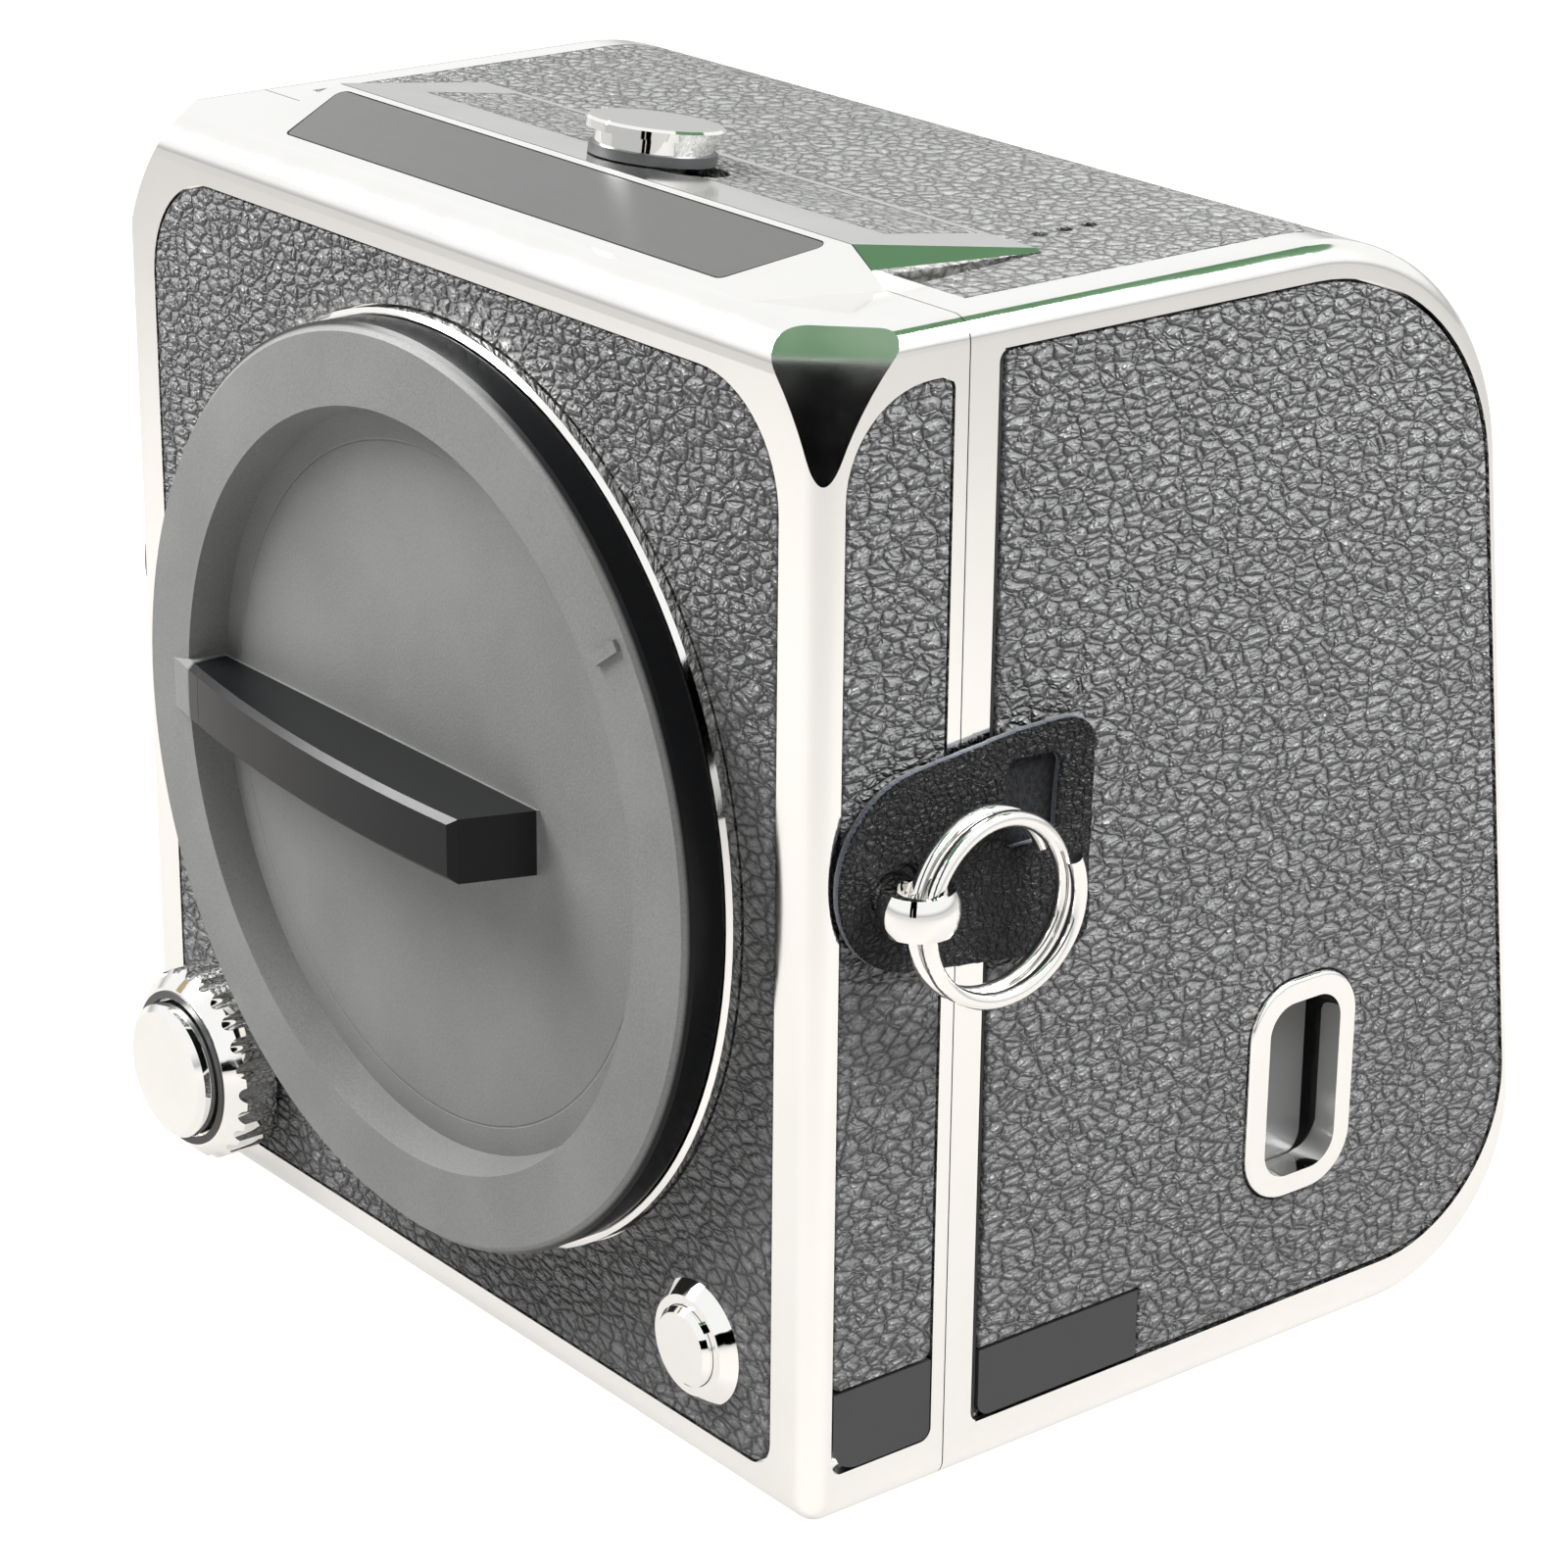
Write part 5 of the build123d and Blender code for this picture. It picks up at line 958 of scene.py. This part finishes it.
    def sheet(self, name: str, rule: Rule, middle_x: float, thickness: float, workshop: Workshop,
              finishes: list[Finish]) -> bpy.types.Object:
        """Makes a sheet of leather: cut, lifted, thickened and rounded.

        Args:
            name: the piece's name.
            rule: signed distance to the outline.
            middle_x: how far out the sheet's middle lies.
            thickness: the sheet's thickness.
            workshop: makes the piece.
            finishes: the faces' finish and the rim's.

        Returns:
            The sheet, riding on the camera on the left side and left unattached on the right.
        """
        depth, height, kept = self.cut(rule)
        out = middle_x + self.lift(depth, height)
        used, faces = np.unique(kept, return_inverse=True)
        points = np.stack([self.side.value * out.reshape(-1)[used] * MM, FRONT_Y + depth.reshape(-1)[used] * MM,
                           height.reshape(-1)[used] * MM], -1)
        faces = faces.reshape(-1, 4)
        if self.side is Side.LEFT:
            faces = faces[:, ::-1]
        sheet = workshop.piece(name, points, faces, finishes)
        thick = sheet.modifiers.new("thickness", "SOLIDIFY")
        thick.thickness, thick.offset, thick.material_offset_rim = thickness * MM, 0.0, len(finishes) - 1
        rounded = sheet.modifiers.new("rounding", "SUBSURF")
        rounded.levels = rounded.render_levels = 1
        if self.side is Side.RIGHT:
            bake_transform(sheet)
        else:
            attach(sheet, "camera")
        return sheet

    def build(self, workshop: Workshop) -> None:
        """Makes the tab, and the rough second layer that shows in its slot.

        Args:
            workshop: makes the pieces.
        """
        word = self.side.name.lower()
        tab = self.sheet(f"leather_tab_{word}", self.distance, self.inner_x + self.thickness / 2, self.thickness,
                         workshop, [STRAP_LEATHER, CUT_LEATHER])
        self.sheet(f"leather_lining_{word}", self.lining_distance, self.inner_x + self.lining_out,
                   self.lining_thickness, workshop, [LEATHER_BACK])
        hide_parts(f"strap_tab_{word}")


@dataclass(frozen=True)
class Lamp:
    """A square soft lamp, placed in degrees round the target and above the floor, and in metres."""

    name: str
    azimuth: float
    elevation: float
    distance: float
    size: float
    watts: float


@dataclass(frozen=True)
class Card:
    """A card that only shows in reflections, a metre from the target: its place, width, height and colour."""

    name: str
    azimuth: float
    elevation: float
    size: Span
    colour: Colour


BLACK_CARD = (0.0, 0.0, 0.0)
GREEN_CARD = (0.30, 0.62, 0.32)

LAMPS = (
    Lamp("key_lamp", 62.0, 60.0, 1.3, 0.5, 6.0),
    Lamp("left_lamp", -52.0, 42.0, 0.31, 0.16, 2.1),
    Lamp("right_lamp", 122.0, 44.0, 0.25, 0.14, 1.45),
)
CARDS = (
    Card("dark_card_left", 32.3, 24.0, (0.115, 1.00), BLACK_CARD),
    Card("dark_card_right", 41.2, 24.0, (0.168, 1.00), BLACK_CARD),
    Card("green_card_top", 36.0, 66.0, (0.40, 0.54), GREEN_CARD),
    Card("green_card_back", 168.0, 54.0, (0.75, 0.50), GREEN_CARD),
    Card("tan_card_left", -60.0, 27.0, (0.26, 0.10), (0.95, 0.74, 0.45)),
)


@dataclass
class Studio:
    """The floor, the light and the camera."""

    photo_size: int = 1600
    focal_px: float = 4571.54
    azimuth: float = 51.2327
    elevation: float = 21.0924
    roll: float = 0.5870
    distance: float = 0.36335
    target: Triple = (0.004407, 0.030 + FRONT_Y, 0.039648)
    sensor_mm: float = 36.0
    clip: Span = (0.01, 20.0)
    card_distance: float = 1.0
    skylight: float = 0.30
    horizon: float = 0.55
    white_from: float = 0.2
    floor_half: float = 3.0

    def towards(self, azimuth: float, elevation: float) -> Vector:
        """The direction from the target: degrees from the front face's own way towards +X, and above the floor."""
        turn, rise = radians(azimuth), radians(elevation)
        return Vector((sin(turn) * cos(rise), -cos(turn) * cos(rise), sin(rise)))

    def facing(self, azimuth: float, elevation: float, distance: float) -> Matrix:
        """Places something at a distance from the target, facing it.

        Args:
            azimuth: degrees round the target.
            elevation: degrees above the floor.
            distance: metres from the target.

        Returns:
            The place and turn.
        """
        away = self.towards(azimuth, elevation)
        turned = away.to_track_quat("Z", "Y").to_matrix().to_4x4()
        return Matrix.Translation(Vector(self.target) + away * distance) @ turned

    def place_camera(self) -> None:
        """Puts the camera on a sphere round its target, turned to look at it and rolled a little."""
        data = bpy.data.cameras.new("viewpoint")
        data.sensor_width = self.sensor_mm
        data.lens = self.sensor_mm * self.focal_px / self.photo_size
        data.clip_start, data.clip_end = self.clip
        viewpoint = bpy.data.objects.new("viewpoint", data)
        viewpoint.matrix_world = (self.facing(self.azimuth, self.elevation, self.distance)
                                  @ Matrix.Rotation(radians(self.roll), 4, "Z"))
        bpy.context.scene.collection.objects.link(viewpoint)
        bpy.context.scene.camera = viewpoint

    def hang(self, lamp: Lamp) -> None:
        """Adds a lamp that points at the target.

        Args:
            lamp: its place, size and power.
        """
        data = bpy.data.lights.new(lamp.name, "AREA")
        data.shape, data.size, data.energy = "SQUARE", lamp.size, lamp.watts
        made = bpy.data.objects.new(lamp.name, data)
        made.matrix_world = self.facing(lamp.azimuth, lamp.elevation, lamp.distance)
        bpy.context.scene.collection.objects.link(made)

    def flat(self, name: str, half: Span, height: float, finish: Finish) -> bpy.types.Object:
        """Makes a flat rectangle round its own middle.

        Args:
            name: its name.
            half: half its width and half its depth.
            height: how far up it lies.
            finish: its finish.

        Returns:
            The rectangle, linked to the scene.
        """
        mesh = bpy.data.meshes.new(name)
        corners = [(-half[0], -half[1], height), (half[0], -half[1], height), (half[0], half[1], height),
                   (-half[0], half[1], height)]
        mesh.from_pydata(corners, [], [(0, 1, 2, 3)])
        mesh.materials.append(finish.make())
        made = bpy.data.objects.new(name, mesh)
        bpy.context.scene.collection.objects.link(made)
        return made

    def stand(self, plan: Card) -> None:
        """Adds a card that faces the target.

        Args:
            plan: its place, size and colour.
        """
        card = self.flat(plan.name, (plan.size[0] / 2, plan.size[1] / 2), 0.0, Paper(plan.name, plan.colour))
        card.matrix_world = self.facing(plan.azimuth, plan.elevation, self.card_distance)
        card.visible_camera = card.visible_diffuse = card.visible_shadow = False
        card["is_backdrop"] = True

    def light_world(self) -> None:
        """Makes the world, whose strength is 1 to the eye and less as light.

        Mirrors see it grey near the horizon and white from a fifth of the way up, which draws the edges of the
        plating. The strength is the largest of these three.
        """
        world = bpy.data.worlds.new("studio")
        bpy.context.scene.world = world
        world.use_nodes = True
        sky = Graph(world.node_tree)
        rays = sky.rays()
        way = sky.node("ShaderNodeTexCoord", {}).outputs["Generated"]
        upward = sky.node("ShaderNodeSeparateXYZ", {0: way}).outputs[2]
        mirrored = sky.math("MULTIPLY", rays["Is Glossy Ray"],
                            sky.between(upward, 0.0, self.white_from, self.horizon, 1.0))
        seen = sky.math("MAXIMUM", rays["Is Camera Ray"], rays["Is Transmission Ray"])
        backdrop = sky.tree.nodes["Background"]
        sky.feed(backdrop.inputs["Strength"],
                 sky.math("MAXIMUM", sky.math("MAXIMUM", seen, mirrored), self.skylight))
        sky.feed(backdrop.inputs["Color"], (1, 1, 1, 1))

    def lay_floor(self) -> None:
        """Lays the floor just under the camera's base."""
        floor = self.flat("floor", (self.floor_half, self.floor_half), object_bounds()[0][2], FLOOR_CLOTH)
        floor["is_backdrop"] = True

    def build(self) -> None:
        """Makes the camera, the world, the floor, the lamps and the cards."""
        self.place_camera()
        self.light_world()
        self.lay_floor()
        for lamp in LAMPS:
            self.hang(lamp)
        for card in CARDS:
            self.stand(card)
        LOG.info("built the studio")


def main() -> None:
    """Builds the sub-assemblies in order."""
    bpy.context.scene.view_settings.view_transform = "Standard"
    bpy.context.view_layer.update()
    Studio().build()
    workshop = Workshop()
    workshop.dress_nodes()
    for side in Side:
        StrapTab(side).build(workshop)


if __name__ == "__main__":
    main()
